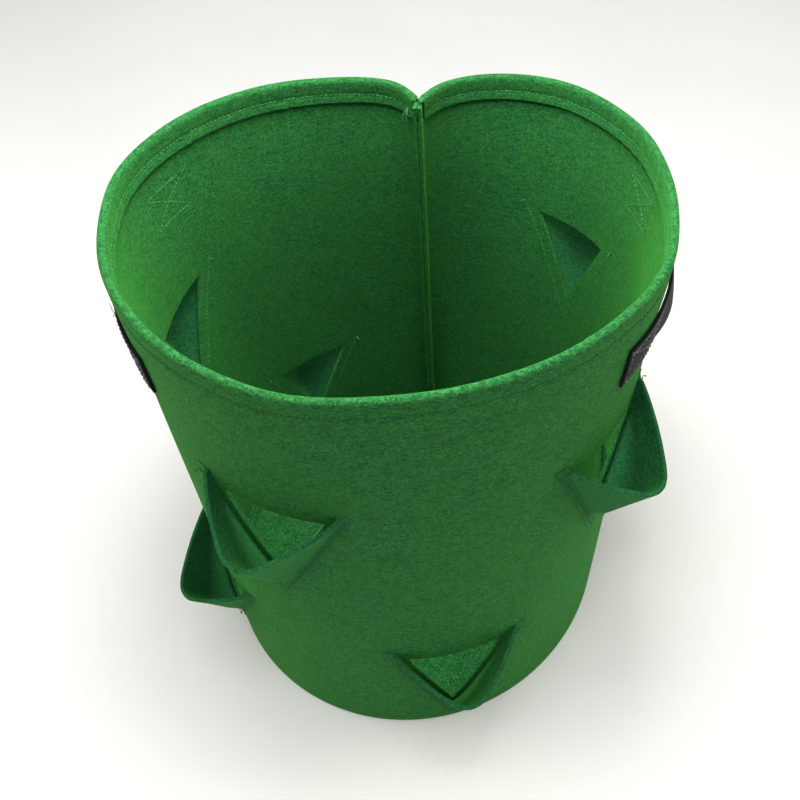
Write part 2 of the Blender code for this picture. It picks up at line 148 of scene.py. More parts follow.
def flat_cloth(name: str, across: Array, up: Array) -> bpy.types.Object:
    """Lays out a flat rectangle of cloth as a grid whose lines are where they are wanted.

    Args:
        name: the new object's name.
        across: the places of the grid's lines along X, rising.
        up: the places of the grid's lines along Y, rising.

    Returns:
        The grid, flat in the XY plane, with a UV map in metres of cloth.
    """
    bpy.ops.mesh.primitive_grid_add(x_subdivisions=len(across) - 1, y_subdivisions=len(up) - 1, size=1)
    cloth = bpy.context.object
    cloth.name = name
    x, y = np.meshgrid(across, up)
    move_to(cloth.data, np.stack([x.ravel(), y.ravel(), np.zeros(x.size)], axis=1))
    write_uv(cloth.data)
    return cloth


def write_uv(mesh: bpy.types.Mesh) -> None:
    """Writes each corner's flat x and y, in metres, as the cloth's UV map."""
    layer = mesh.uv_layers.active or mesh.uv_layers.new(name="cloth")
    corners = np.empty(len(mesh.loops), dtype=np.int64)
    mesh.loops.foreach_get("vertex_index", corners)
    layer.data.foreach_set("uv", coordinates(mesh)[corners, :2].ravel())


def give_thickness(piece: bpy.types.Object, thickness: float, offset: float, bevel: float) -> None:
    """Turns a sheet into felt or webbing of a thickness, with softened cut edges.

    Args:
        piece: the sheet, whose vertex group "press" says where stitches press it thinner.
        thickness: how thick the cloth is.
        offset: -1 to 1, the side of the sheet that the thickness goes to.
        bevel: how far the cut edges are rounded.
    """
    wall = piece.modifiers.new("thickness", "SOLIDIFY")
    wall.thickness = thickness
    wall.offset = offset
    wall.use_even_offset = False
    if "press" in piece.vertex_groups:
        wall.vertex_group = "press"
    edge = piece.modifiers.new("edge", "BEVEL")
    edge.width = bevel
    edge.segments = 2
    edge.limit_method = "ANGLE"
    edge.angle_limit = math.radians(60)
    apply_modifiers(piece)


def press(piece: bpy.types.Object, share: Array) -> None:
    """Says, for each vertex of a sheet, what share of its thickness is left."""
    group = piece.vertex_groups.new(name="press")
    for index, value in enumerate(share):
        group.add([index], float(value), "REPLACE")


def dress(
    piece: bpy.types.Object,
    material: bpy.types.Material,
    replaced: Sequence[str],
    body: str | None = "root",
    angle: float = 40.0,
) -> None:
    """Finishes a piece: its material, shading, CAD nodes and the body that it rides on.

    Args:
        piece: the piece.
        material: its only material.
        replaced: the CAD nodes that it stands for.
        body: the CAD body that it rides on, or None for a piece that rides on none.
        angle: edges sharper than this, in degrees, stay crisp.
    """
    piece.data.materials.clear()
    piece.data.materials.append(material)
    only(piece)
    bpy.ops.object.shade_smooth_by_angle(angle=math.radians(angle))
    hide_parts(*replaced)
    if body:
        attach(piece, body)
    LOG.info("%s: %d faces", piece.name, len(piece.data.polygons))


# ---------------------------------------------------------------------------------------------------
# Finishes
# ---------------------------------------------------------------------------------------------------


def add_node(
    tree: bpy.types.NodeTree,
    kind: str,
    values: dict | None = None,
    sources: dict | None = None,
    **settings: object,
) -> bpy.types.Node:
    """Adds a node with its settings, its values and its links.

    Args:
        tree: the material's node tree.
        kind: the node's type name.
        values: values of input sockets, by name or number.
        sources: output sockets that feed input sockets, by name or number.
        **settings: the node's own properties.

    Returns:
        The new node.
    """
    made = tree.nodes.new(kind)
    for name, value in settings.items():
        setattr(made, name, value)
    for name, value in (values or {}).items():
        made.inputs[name].default_value = value
    for name, source in (sources or {}).items():
        tree.links.new(source, made.inputs[name])
    return made


def set_stops(ramp: bpy.types.Node, stops: Sequence[tuple[float, str]]) -> None:
    """Gives a colour ramp its stops, each a place from 0 to 1 and a hex colour."""
    elements = ramp.color_ramp.elements
    while len(elements) < len(stops):
        elements.new(0.5)
    for element, (place, colour) in zip(elements, stops):
        element.position = place
        element.color = linear(colour)


def new_material(name: str, values: dict) -> tuple[bpy.types.Material, bpy.types.NodeTree, bpy.types.Node]:
    """A new material with its node tree and its Principled shader, which has these even values."""
    made = bpy.data.materials.new(name)
    made.use_nodes = True
    shader = made.node_tree.nodes["Principled BSDF"]
    for socket, value in values.items():
        shader.inputs[socket].default_value = value
    return made, made.node_tree, shader


@dataclass(frozen=True)
class NeedledFelt:
    """Needle-punched polyester felt, dyed in the fibre.

    It is a mat of short crossed fibres with no weave. The eye sees mottling where the mat is thicker, fine
    curled strands that catch light or shade on top, no gloss, and a bright fuzz where it is seen edge on.
    """

    name: str
    deep: str
    middle: str
    pale: str
    warm: str
    # The mat varies in thickness over about 30 mm, and in tufts of about 1.7 mm.
    cloud_mm: float = 30.0
    tuft_mm: float = 1.7
    # Fibres are 0.02 mm thick. They are drawn many times thicker, which is as fine as shows.
    curl_mm: float = 3.6
    strand_share: float = 0.06
    # How closely the light and dark strands are packed along each axis. They lie mostly level.
    light_packing: tuple[float, float, float] = (0.6, 0.6, 2.0)
    dark_packing: tuple[float, float, float] = (0.8, 0.6, 2.1)
    dark_shift: float = 0.37
    # How high the strands stand in the bump, as a share of the tufts, and how deep it is
    strand_rise: float = 0.35
    bump_mm: float = 0.35
    fuzz: float = 0.26
    fuzz_tint: str = "#6BE83F"

    def make(self) -> bpy.types.Material:
        """Builds the material."""
        even = {"Roughness": 0.95, "Specular IOR Level": 0.15, "Sheen Weight": self.fuzz}
        even |= {"Sheen Roughness": 0.4, "Sheen Tint": linear(self.fuzz_tint)}
        made, tree, shader = new_material(self.name, even)
        place = add_node(tree, "ShaderNodeTexCoord").outputs["Object"]
        clouds = []
        for size_mm, detail in ((self.cloud_mm, 2.0), (self.tuft_mm, 5.0)):
            values = {"Scale": 1 / (size_mm * MM), "Detail": detail, "Roughness": 0.62}
            clouds.append(add_node(tree, "ShaderNodeTexNoise", values, {"Vector": place}).outputs["Fac"])
        cloud, tuft = clouds
        light = self.strands(tree, place, self.light_packing, 0.0)
        dark = self.strands(tree, place, self.dark_packing, self.dark_shift)
        body = add_node(tree, "ShaderNodeValToRGB", sources={"Fac": tuft})
        set_stops(body, ((0.28, self.deep), (0.5, self.middle), (0.74, self.pale)))
        colour = body.outputs["Color"]
        # Each layer: its pattern, where that starts and is full, the most it covers, and its colour
        layers = (
            (cloud, 0.42, 0.72, 0.5, self.warm),
            (light, 0.0, 1.0, 0.75, self.pale),
            (dark, 0.0, 1.0, 0.52, self.deep),
        )
        for pattern, low, high, most, shade in layers:
            values = {"From Min": low, "From Max": high, "To Max": most}
            mask = add_node(tree, "ShaderNodeMapRange", values, {"Value": pattern}).outputs["Result"]
            sources = {0: mask, 6: colour}
            mixed = add_node(tree, "ShaderNodeMix", {7: linear(shade)}, sources, data_type="RGBA")
            colour = mixed.outputs[2]
        tree.links.new(colour, shader.inputs["Base Color"])
        strands = add_node(tree, "ShaderNodeMath", sources={0: light, 1: dark}, operation="SUBTRACT")
        sources = {0: strands.outputs[0], 2: tuft}
        grain = add_node(tree, "ShaderNodeMath", {1: self.strand_rise}, sources, operation="MULTIPLY_ADD")
        values = {"Strength": 0.55, "Distance": self.bump_mm * MM}
        bump = add_node(tree, "ShaderNodeBump", values, {"Height": grain.outputs[0]})
        tree.links.new(bump.outputs["Normal"], shader.inputs["Normal"])
        return made

    def strands(
        self, tree: bpy.types.NodeTree, place: object, packing: tuple[float, float, float], shift: float
    ) -> object:
        """Thin curled strands: the lines along which a cloudy pattern crosses its middle.

        Args:
            tree: the material's node tree.
            place: the coordinates that the strands lie in.
            packing: how closely the strands are packed along each axis.
            shift: how far this layer is moved from the others.

        Returns:
            The socket of a mask that is 1 along the strands.
        """
        scale = tuple(share / (self.curl_mm * MM) for share in packing)
        values = {"Location": (shift,) * 3, "Scale": scale}
        moved = add_node(tree, "ShaderNodeMapping", values, {"Vector": place})
        values = {"Scale": 1.0, "Detail": 2.5, "Roughness": 0.75, "Distortion": 0.9}
        field = add_node(tree, "ShaderNodeTexNoise", values, {"Vector": moved.outputs[0]})
        off = add_node(tree, "ShaderNodeMath", {1: 0.5}, {0: field.outputs["Fac"]}, operation="SUBTRACT")
        away = add_node(tree, "ShaderNodeMath", sources={0: off.outputs[0]}, operation="ABSOLUTE")
        values = {"From Min": 0.0, "From Max": self.strand_share, "To Min": 1.0, "To Max": 0.0}
        return add_node(tree, "ShaderNodeMapRange", values, {"Value": away.outputs[0]}).outputs["Result"]


@dataclass(frozen=True)
class Webbing:
    """Black polypropylene webbing in a ribbed plain weave.

    Thick cords run along it and turn over fine crossing yarns, so it is rows of small beads with a low gloss.
    Their tops carry a painted highlight, and the gaps between them painted shade.
    """

    name: str = "black_webbing"
    # The yarn's own colour, a painted highlight on the beads' tops, and painted shade in the gaps between the
    # beads
    yarn: str = "#08090A"
    uneven_bead_highlight: str = "#17191A"
    gap_shade: str = "#010202"
    # The cords are 0.8 mm apart. They are drawn 1.5 mm apart, which is as fine as shows.
    rib_mm: float = 1.5
    pick_mm: float = 2.0
    bump_mm: float = 0.4
    # The yarn's own unevenness is about 1.4 mm long.
    wear_scale: float = 700.0

    def make(self) -> bpy.types.Material:
        """Builds the material. It follows the strap's UV map, which is in metres."""
        made, tree, shader = new_material(self.name, {"Roughness": 0.75, "Specular IOR Level": 0.18})
        cloth = add_node(tree, "ShaderNodeUVMap", uv_map="cloth").outputs["UV"]
        parts = add_node(tree, "ShaderNodeSeparateXYZ", sources={0: cloth})
        ribs = self.wave(tree, parts.outputs["Y"], self.rib_mm, None)
        picks = self.wave(tree, parts.outputs["X"], self.pick_mm, ribs)
        lie = add_node(tree, "ShaderNodeMath", sources={0: ribs, 1: picks}, operation="MULTIPLY")
        values = {"Scale": self.wear_scale, "Detail": 3.0}
        wear = add_node(tree, "ShaderNodeTexNoise", values, {"Vector": cloth})
        sources = {0: lie.outputs[0], 1: wear.outputs["Fac"]}
        # The raised beads, thinned out by the yarn's unevenness, take the painted highlight; the low gaps
        # between them take painted shade
        uneven_bead_highlight = add_node(tree, "ShaderNodeMath", sources=sources, operation="MULTIPLY")
        tone = add_node(tree, "ShaderNodeValToRGB", sources={"Fac": uneven_bead_highlight.outputs[0]})
        set_stops(tone, ((0.02, self.gap_shade), (0.2, self.yarn), (0.5, self.uneven_bead_highlight)))
        tree.links.new(tone.outputs["Color"], shader.inputs["Base Color"])
        values = {"Strength": 0.8, "Distance": self.bump_mm * MM}
        bump = add_node(tree, "ShaderNodeBump", values, {"Height": lie.outputs[0]})
        tree.links.new(bump.outputs["Normal"], shader.inputs["Normal"])
        return made

    def wave(self, tree: bpy.types.NodeTree, way: object, pitch_mm: float, shift: object | None) -> object:
        """A rounded wave from 0 to 1 with a pitch, moved along by another wave where one is given."""
        if shift is not None:
            step = add_node(tree, "ShaderNodeMath", {1: pitch_mm * MM / 2}, {0: shift}, operation="MULTIPLY")
            moved = add_node(tree, "ShaderNodeMath", sources={0: way, 1: step.outputs[0]}, operation="ADD")
            way = moved.outputs[0]
        values = {1: 2 * math.pi / (pitch_mm * MM)}
        turns = add_node(tree, "ShaderNodeMath", values, {0: way}, operation="MULTIPLY")
        wave = add_node(tree, "ShaderNodeMath", sources={0: turns.outputs[0]}, operation="SINE")
        values = {"From Min": -1.0, "From Max": 1.0}
        return add_node(tree, "ShaderNodeMapRange", values, {"Value": wave.outputs[0]}).outputs["Result"]


@dataclass(frozen=True)
class SewingThread:
    """Twisted polyester sewing thread: smooth and nearly matt, with painted shade in the turns between the
    plies.
    """

    name: str
    ply: str
    # The colour of the painted shade in the turns between the plies
    turn: str
    # Two plies turn once in 0.6 mm, and are drawn at 0.9 mm.
    twist_mm: float = 0.9
    bump_mm: float = 0.1

    def make(self) -> bpy.types.Material:
        """Builds the material."""
        made, tree, shader = new_material(self.name, {"Roughness": 0.7, "Specular IOR Level": 0.2})
        place = add_node(tree, "ShaderNodeTexCoord").outputs["Object"]
        values = {"Scale": 1 / (self.twist_mm * MM), "Detail": 2.0}
        twist = add_node(tree, "ShaderNodeTexNoise", values, {"Vector": place})
        tone = add_node(tree, "ShaderNodeValToRGB", sources={"Fac": twist.outputs["Fac"]})
        # Patches of painted shade for the turns between the plies, over the thread's own colour
        set_stops(tone, ((0.35, self.turn), (0.62, self.ply)))
        tree.links.new(tone.outputs["Color"], shader.inputs["Base Color"])
        values = {"Strength": 0.4, "Distance": self.bump_mm * MM}
        bump = add_node(tree, "ShaderNodeBump", values, {"Height": twist.outputs["Fac"]})
        tree.links.new(bump.outputs["Normal"], shader.inputs["Normal"])
        return made


@dataclass(frozen=True)
class Sweep:
    """The studio's matt painted floor: even and pale."""

    name: str = "pale_floor"
    paint: str = "#F4F4F3"
    shade: str = "#EFEFEE"

    def make(self) -> bpy.types.Material:
        """Builds the material."""
        made, tree, shader = new_material(self.name, {"Roughness": 0.9})
        place = add_node(tree, "ShaderNodeTexCoord").outputs["Object"]
        cloud = add_node(tree, "ShaderNodeTexNoise", {"Scale": 3.0, "Detail": 2.0}, {"Vector": place})
        tone = add_node(tree, "ShaderNodeValToRGB", sources={"Fac": cloud.outputs["Fac"]})
        set_stops(tone, ((0.3, self.shade), (0.7, self.paint)))
        tree.links.new(tone.outputs["Color"], shader.inputs["Base Color"])
        return made


# ---------------------------------------------------------------------------------------------------
# The bag's standing shape
# ---------------------------------------------------------------------------------------------------


@dataclass
class BagShape:
    """Where any place on the felt stands.

    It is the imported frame's wall with the felt's soft unevenness, a flared rim, and a shallower pinch at the
    side seam.
    """

    radius: float = 0.175
    height: float = 0.390
    felt: float = 0.0028
    # How far the rim and base are from true circles: (lobes, cosine share, sine share) of the radius
    rim_lobes: tuple = ((2, 0.011, 0.063), (3, -0.022, -0.012), (4, -0.007, -0.014))
    rim_pinch: float = 0.265
    rim_pinch_angle: float = 0.216
    base_lobes: tuple = ((2, -0.043, 0.020),)
    rim_slump: tuple = ((1, -0.007, 0.004), (2, 0.0065, -0.002))
    samples: int = 1440
    # How far to each side the wall's direction is measured
    reach: float = 0.002
    # The felt's unevenness: (waves round, phase, waves up, height of the wave)
    ripples: tuple = ((5, 0.6, 1, 0.0011), (9, 2.1, 2, 0.0006), (14, 4.0, 3, 0.00035))
    # The doubled hem holds the rim a little wider than the wall under it
    flare: float = 0.0032
    flare_start: float = 0.30
    # The unevenness fades out this far from the seam, and below this share of the height
    still_seam: float = 0.03
    still_foot: float = 0.15

    def __post_init__(self) -> None:
        """Works out the plan curves of the rim and base."""
        self.perimeter = 2 * math.pi * self.radius
        self.rim, self.rim_way, angle = self.lobed_plan(self.rim_lobes, self.rim_pinch)
        self.foot, self.foot_way, _ = self.lobed_plan(self.base_lobes, 0.0)
        self.rim_height = np.full(len(angle), self.height)
        for count, cosine, sine in self.rim_slump:
            self.rim_height += cosine * np.cos(count * angle) + sine * np.sin(count * angle)

    def lobed_plan(self, lobes: tuple, pinch: float) -> tuple[Array, Array, Array]:
        """A closed plan curve of the bag's perimeter, clockwise from the seam.

        Args:
            lobes: how far the curve is from a circle.
            pinch: how far the seam pulls it in, as a share of the radius.

        Returns:
            The curve's points, their way along it, and their angle.
        """
        angle = math.pi / 2 - np.linspace(0, 2 * math.pi, self.samples + 1)
        from_seam = np.minimum(math.pi / 2 - angle, angle + 1.5 * math.pi)
        radius = 1 - pinch * np.exp(-from_seam / self.rim_pinch_angle)
        for count, cosine, sine in lobes:
            radius += cosine * np.cos(count * angle) + sine * np.sin(count * angle)
        points = np.stack([radius * np.cos(angle), radius * np.sin(angle)], axis=1)
        way = np.concatenate([[0], np.cumsum(np.hypot(*np.diff(points, axis=0).T))])
        scale = self.perimeter / way[-1]
        return points * scale, way * scale, angle

    def plan(self, s: Array, share: Array) -> Array:
        """The plan point at s, at a share of the way up."""
        s = np.mod(s, self.perimeter)
        top = np.stack([np.interp(s, self.rim_way, self.rim[:, axis]) for axis in (0, 1)], axis=-1)
        foot = np.stack([np.interp(s, self.foot_way, self.foot[:, axis]) for axis in (0, 1)], axis=-1)
        share = np.asarray(share)[..., None]
        return foot * (1 - share) + top * share

    def along(self, s: Array, share: Array) -> Array:
        """The level direction along the wall, clockwise from above."""
        step = self.plan(s + self.reach, share) - self.plan(s - self.reach, share)
        return step / np.linalg.norm(step, axis=-1, keepdims=True)

    def outward(self, s: Array, share: Array) -> Array:
        """The level direction out of the wall."""
        along = self.along(s, share)
        return np.stack([-along[..., 1], along[..., 0]], axis=-1)

    def ripple(self, s: Array, v: Array) -> Array:
        """How far the felt stands out of its even shape. It is nothing at the seam and the base."""
        round_way = 2 * math.pi * s / self.perimeter
        up = np.clip(v / self.height, 0, 1)
        raised = sum(
            height * np.sin(count * round_way + phase) * np.sin(rise * math.pi * up + phase)
            for count, phase, rise, height in self.ripples
        )
        seam = smooth(np.minimum(s, self.perimeter - s) / self.still_seam)
        flared = self.flare * smooth((v - self.flare_start) / (self.height - self.flare_start))
        return (raised * smooth(up / self.still_foot) + flared) * seam

    def point(self, s: Array, v: Array, w: Array) -> Array:
        """The place of (s, v, w)."""
        s, v, w = np.broadcast_arrays(*[np.asarray(x, float) for x in (s, v, w)])
        share = v / self.height
        out = w + self.ripple(s, v)
        flat = self.plan(s, share) + self.outward(s, share) * out[..., None]
        z = share * np.interp(np.mod(s, self.perimeter), self.rim_way, self.rim_height)
        return np.concatenate([flat, z[..., None]], axis=-1)


# ---------------------------------------------------------------------------------------------------
# Sewing
# ---------------------------------------------------------------------------------------------------


@dataclass
class Seamstress:
    """Sews rows of lockstitch: short lengths of thread, each sinking into the cloth at both its ends."""

    bag: BagShape
    pitch: float = 0.0036
    length: float = 0.0028
    thread: float = 0.00075
    sides: int = 6
    tail_sides: int = 5
    unevenness: float = 0.00012

    def __post_init__(self) -> None:
        """Makes the one stitch that every row repeats."""
        self.points, self.faces = self.one_stitch()

    def one_stitch(self) -> tuple[Array, list[tuple[int, ...]]]:
        """A stitch along X that bulges in the middle and dips at its ends.

        Returns:
            Its points, as shares of the length and the thread's thickness, and its faces.
        """
        bpy.ops.object.select_all(action="DESELECT")
        bpy.ops.mesh.primitive_cylinder_add(
            vertices=self.sides, radius=0.5, depth=1.0, end_fill_type="NGON", rotation=(0, math.pi / 2, 0)
        )
        stitch = bpy.context.object
        bpy.ops.object.transform_apply(location=False, rotation=True, scale=False)
        bpy.ops.object.mode_set(mode="EDIT")
        bpy.ops.mesh.select_all(action="DESELECT")
        shape = bmesh.from_edit_mesh(stitch.data)
        for edge in shape.edges:
            edge.select = abs(edge.verts[0].co.x - edge.verts[1].co.x) > 0.5
        bmesh.update_edit_mesh(stitch.data)
        bpy.ops.mesh.subdivide(number_cuts=3)
        bpy.ops.object.mode_set(mode="OBJECT")
        points = coordinates(stitch.data)
        faces = [tuple(face.vertices) for face in stitch.data.polygons]
        bpy.data.objects.remove(stitch)
        bulge = 1 - (2 * np.abs(points[:, 0])) ** 3 * 0.55
        points[:, 1:] *= bulge[:, None]
        points[:, 2] += 0.30 - 0.75 * (2 * np.abs(points[:, 0])) ** 2
        return points, faces

    def row(self, line: Array, w: float, face: Face, seed: int) -> Array:
        """Stamps stitches along a line on the wall.

        Args:
            line: rows of (s, v) that the stitches follow, with a stitch ending at each corner.
            w: how far out the cloth's surface is.
            face: which way the stitches face.
            seed: sets how unevenly they lie.

        Returns:
            The points of every stitch, one block for each.
        """
        rng = np.random.default_rng(seed)
        blocks = []
        for start, end in zip(line[:-1], line[1:]):
            span = float(np.linalg.norm(end - start))
            count = max(int(round(span / self.pitch)), 1)
            step = (end - start) / count
            for index in range(count):
                middle = start + step * (index + 0.5) + rng.normal(0, self.unevenness, 2)
                reach = step / np.linalg.norm(step) * self.length / 2
                blocks.append((middle - reach, middle + reach))
        return self.lay(np.array(blocks), w, face, rng)

    def lay(self, ends: Array, w: float, face: Face, rng: np.random.Generator) -> Array:
        """Turns pairs of (s, v) ends into the points of stitches between them."""
        first = self.bag.point(ends[:, 0, 0], ends[:, 0, 1], w)
        last = self.bag.point(ends[:, 1, 0], ends[:, 1, 1], w)
        centre = ends.mean(axis=1)
        flat = self.bag.outward(centre[:, 0], centre[:, 1] / self.bag.height)
        normal = np.concatenate([flat, np.zeros((len(flat), 1))], axis=1) * (1 if face is Face.OUTER else -1)
        return self.place(first, last, normal, rng)

    def place(self, first: Array, last: Array, normal: Array, rng: np.random.Generator) -> Array:
        """Puts a stitch between each pair of points, standing on its normal."""
        along = last - first
        size = np.linalg.norm(along, axis=1, keepdims=True)
        along = along / size
        side = np.cross(normal, along)
        side /= np.linalg.norm(side, axis=1, keepdims=True)
        up = np.cross(along, side)
        thick = self.thread * rng.uniform(0.9, 1.1, len(first))[:, None, None]
        x = self.points[None, :, 0, None] * size[:, None] * along[:, None]
        y = self.points[None, :, 1, None] * thick * side[:, None]
        z = self.points[None, :, 2, None] * thick * up[:, None]
        return ((first + last) / 2)[:, None] + x + y + z

    def piece(self, name: str, stitches: Array, tails: Sequence[Array] = ()) -> bpy.types.Object:
        """Makes one object of many stitches and any loose thread ends.

        Args:
            name: the object's name.
            stitches: points of stitches, as row() gives them.
            tails: loose ends, each a row of points that the thread follows.

        Returns:
            The new object.
        """
        size = self.points.shape[0]
        points = [stitches.reshape(-1, 3)]
        faces = []
        for index in range(len(stitches)):
            faces += [tuple(corner + size * index for corner in face) for face in self.faces]
        count = len(stitches) * size
        for tail in tails:
            tube, walls = self.loose_end(tail)
            points.append(tube)
            faces += [tuple(corner + count for corner in wall) for wall in walls]
            count += len(tube)
        mesh = bpy.data.meshes.new(name)
        mesh.from_pydata(np.concatenate(points).tolist(), [], faces)
        made = bpy.data.objects.new(name, mesh)
        bpy.context.scene.collection.objects.link(made)
        return made

    def loose_end(self, way: Array) -> tuple[Array, list[tuple[int, ...]]]:
        """A thin tube of thread along a way, thinning to its cut end."""
        sides = self.tail_sides
        rings = []
        for index, point in enumerate(way):
            ahead = way[min(index + 1, len(way) - 1)] - way[max(index - 1, 0)]
            ahead = ahead / np.linalg.norm(ahead)
            side = np.cross(ahead, (0.31, 0.45, 0.84))
            side /= np.linalg.norm(side)
            up = np.cross(side, ahead)
            wide = self.thread * 0.42 * (1 - 0.35 * index / len(way))
            turn = np.arange(sides) * 2 * math.pi / sides
            rings.append(point + wide * (np.outer(np.cos(turn), side) + np.outer(np.sin(turn), up)))
        faces = []
        for index in range(len(way) - 1):
            for corner in range(sides):
                here, after = index * sides + corner, index * sides + (corner + 1) % sides
                faces.append((here, here + sides, after + sides, after))
        faces.append(tuple(range(sides)))
        faces.append(tuple(reversed(range((len(way) - 1) * sides, len(way) * sides))))
        return np.concatenate(rings), faces

    def tail(self, s: float, v: float, w: float, toward: Sequence[float], length: float) -> Array:
        """The way of a loose end that curls out of the cloth and droops.

        Args:
            s: where it leaves the cloth, along it.
            v: where it leaves the cloth, up it.
            w: the face that it leaves.
            toward: how it leans: along the cloth, up it, and out of it.
            length: its length.

        Returns:
            Its points.
        """
        share = np.linspace(0, 1, 9)
        lean = np.array(toward) / np.linalg.norm(toward)
        out = math.copysign(1.0, w + self.bag.felt / 2)
        curl = np.sin(share * 2.4) * 0.25
        return self.bag.point(
            s + (lean[0] * share + curl * lean[1]) * length,
            v + (lean[1] * share - curl * lean[0]) * length,
            w + out * abs(lean[2]) * np.sin(share * 2.2) * length,
        )


# ---------------------------------------------------------------------------------------------------
# The felt panel
# ---------------------------------------------------------------------------------------------------


@dataclass
class Pocket:
    """One planting pocket: the hole in the wall and the flap over it. The same V lies under both."""

    number: int
    bag: BagShape
    count: int = 8
    first: float = 0.1493
    last: float = 0.1313
    high_drop: float = 0.105
    low_top: float = 0.128
    width: float = 0.110
    depth: float = 0.110
    hole_inset: float = 0.0118
    hole_drop: float = 0.010
    # How far each pocket was sewn from its even place, along and up the wall, pockets 1 to 8
    drifts: tuple = (
        (-0.001, 0.0),
        (0.0, 0.0),
        (0.002, -0.002),
        (0.001, -0.010),
        (0.006, 0.0),
        (-0.020, 0.002),
        (-0.010, -0.003),
        (0.003, -0.010),
    )
    margin: float = 0.0040
    stitch_inset: float = 0.0023
    flap_width: float = 0.144
    nose_round: float = 0.018
    clearance: float = 0.0006

    def __post_init__(self) -> None:
        """Works out where the pocket is and its V's angle."""
        self.row = Row.HIGH if self.number % 2 else Row.LOW
        pitch = (self.bag.perimeter - self.first - self.last) / (self.count - 1)
        along, up = self.drifts[self.number - 1]
        self.middle = self.first + (self.number - 1) * pitch + along
        top = self.bag.height - self.high_drop if self.row is Row.HIGH else self.low_top
        self.foot = top - self.depth + up
        self.angle = math.atan2(self.width / 2, self.depth)

    def point_rise(self, inset: float) -> float:
        """How far up the pocket the V's point lies once the V is moved in."""
        return inset / math.sin(self.angle)

    def half_width(self, inset: float, rise: Array) -> Array:
        """Half the width of the moved V at a rise above the pocket's point."""
        return np.maximum((rise - self.point_rise(inset)) * math.tan(self.angle), 0.0)

    def hole(self) -> list[tuple[float, float]]:
        """The hole's three corners as (s, v)."""
        top = self.depth - self.hole_drop
        half = float(self.half_width(self.hole_inset, top))
        corners = [(0.0, self.point_rise(self.hole_inset)), (half, top), (-half, top)]
        return [(self.middle + side, self.foot + rise) for side, rise in corners]

    def stitch_line(self) -> Array:
        """The V of stitches as rows of (s, v), from one top corner through the point to the other."""
        top = self.depth - self.stitch_inset
        half = float(self.half_width(self.stitch_inset, top))
        corners = [(half, top), (0.0, self.point_rise(self.stitch_inset)), (-half, top)]
        return np.array([(self.middle + side, self.foot + rise) for side, rise in corners])


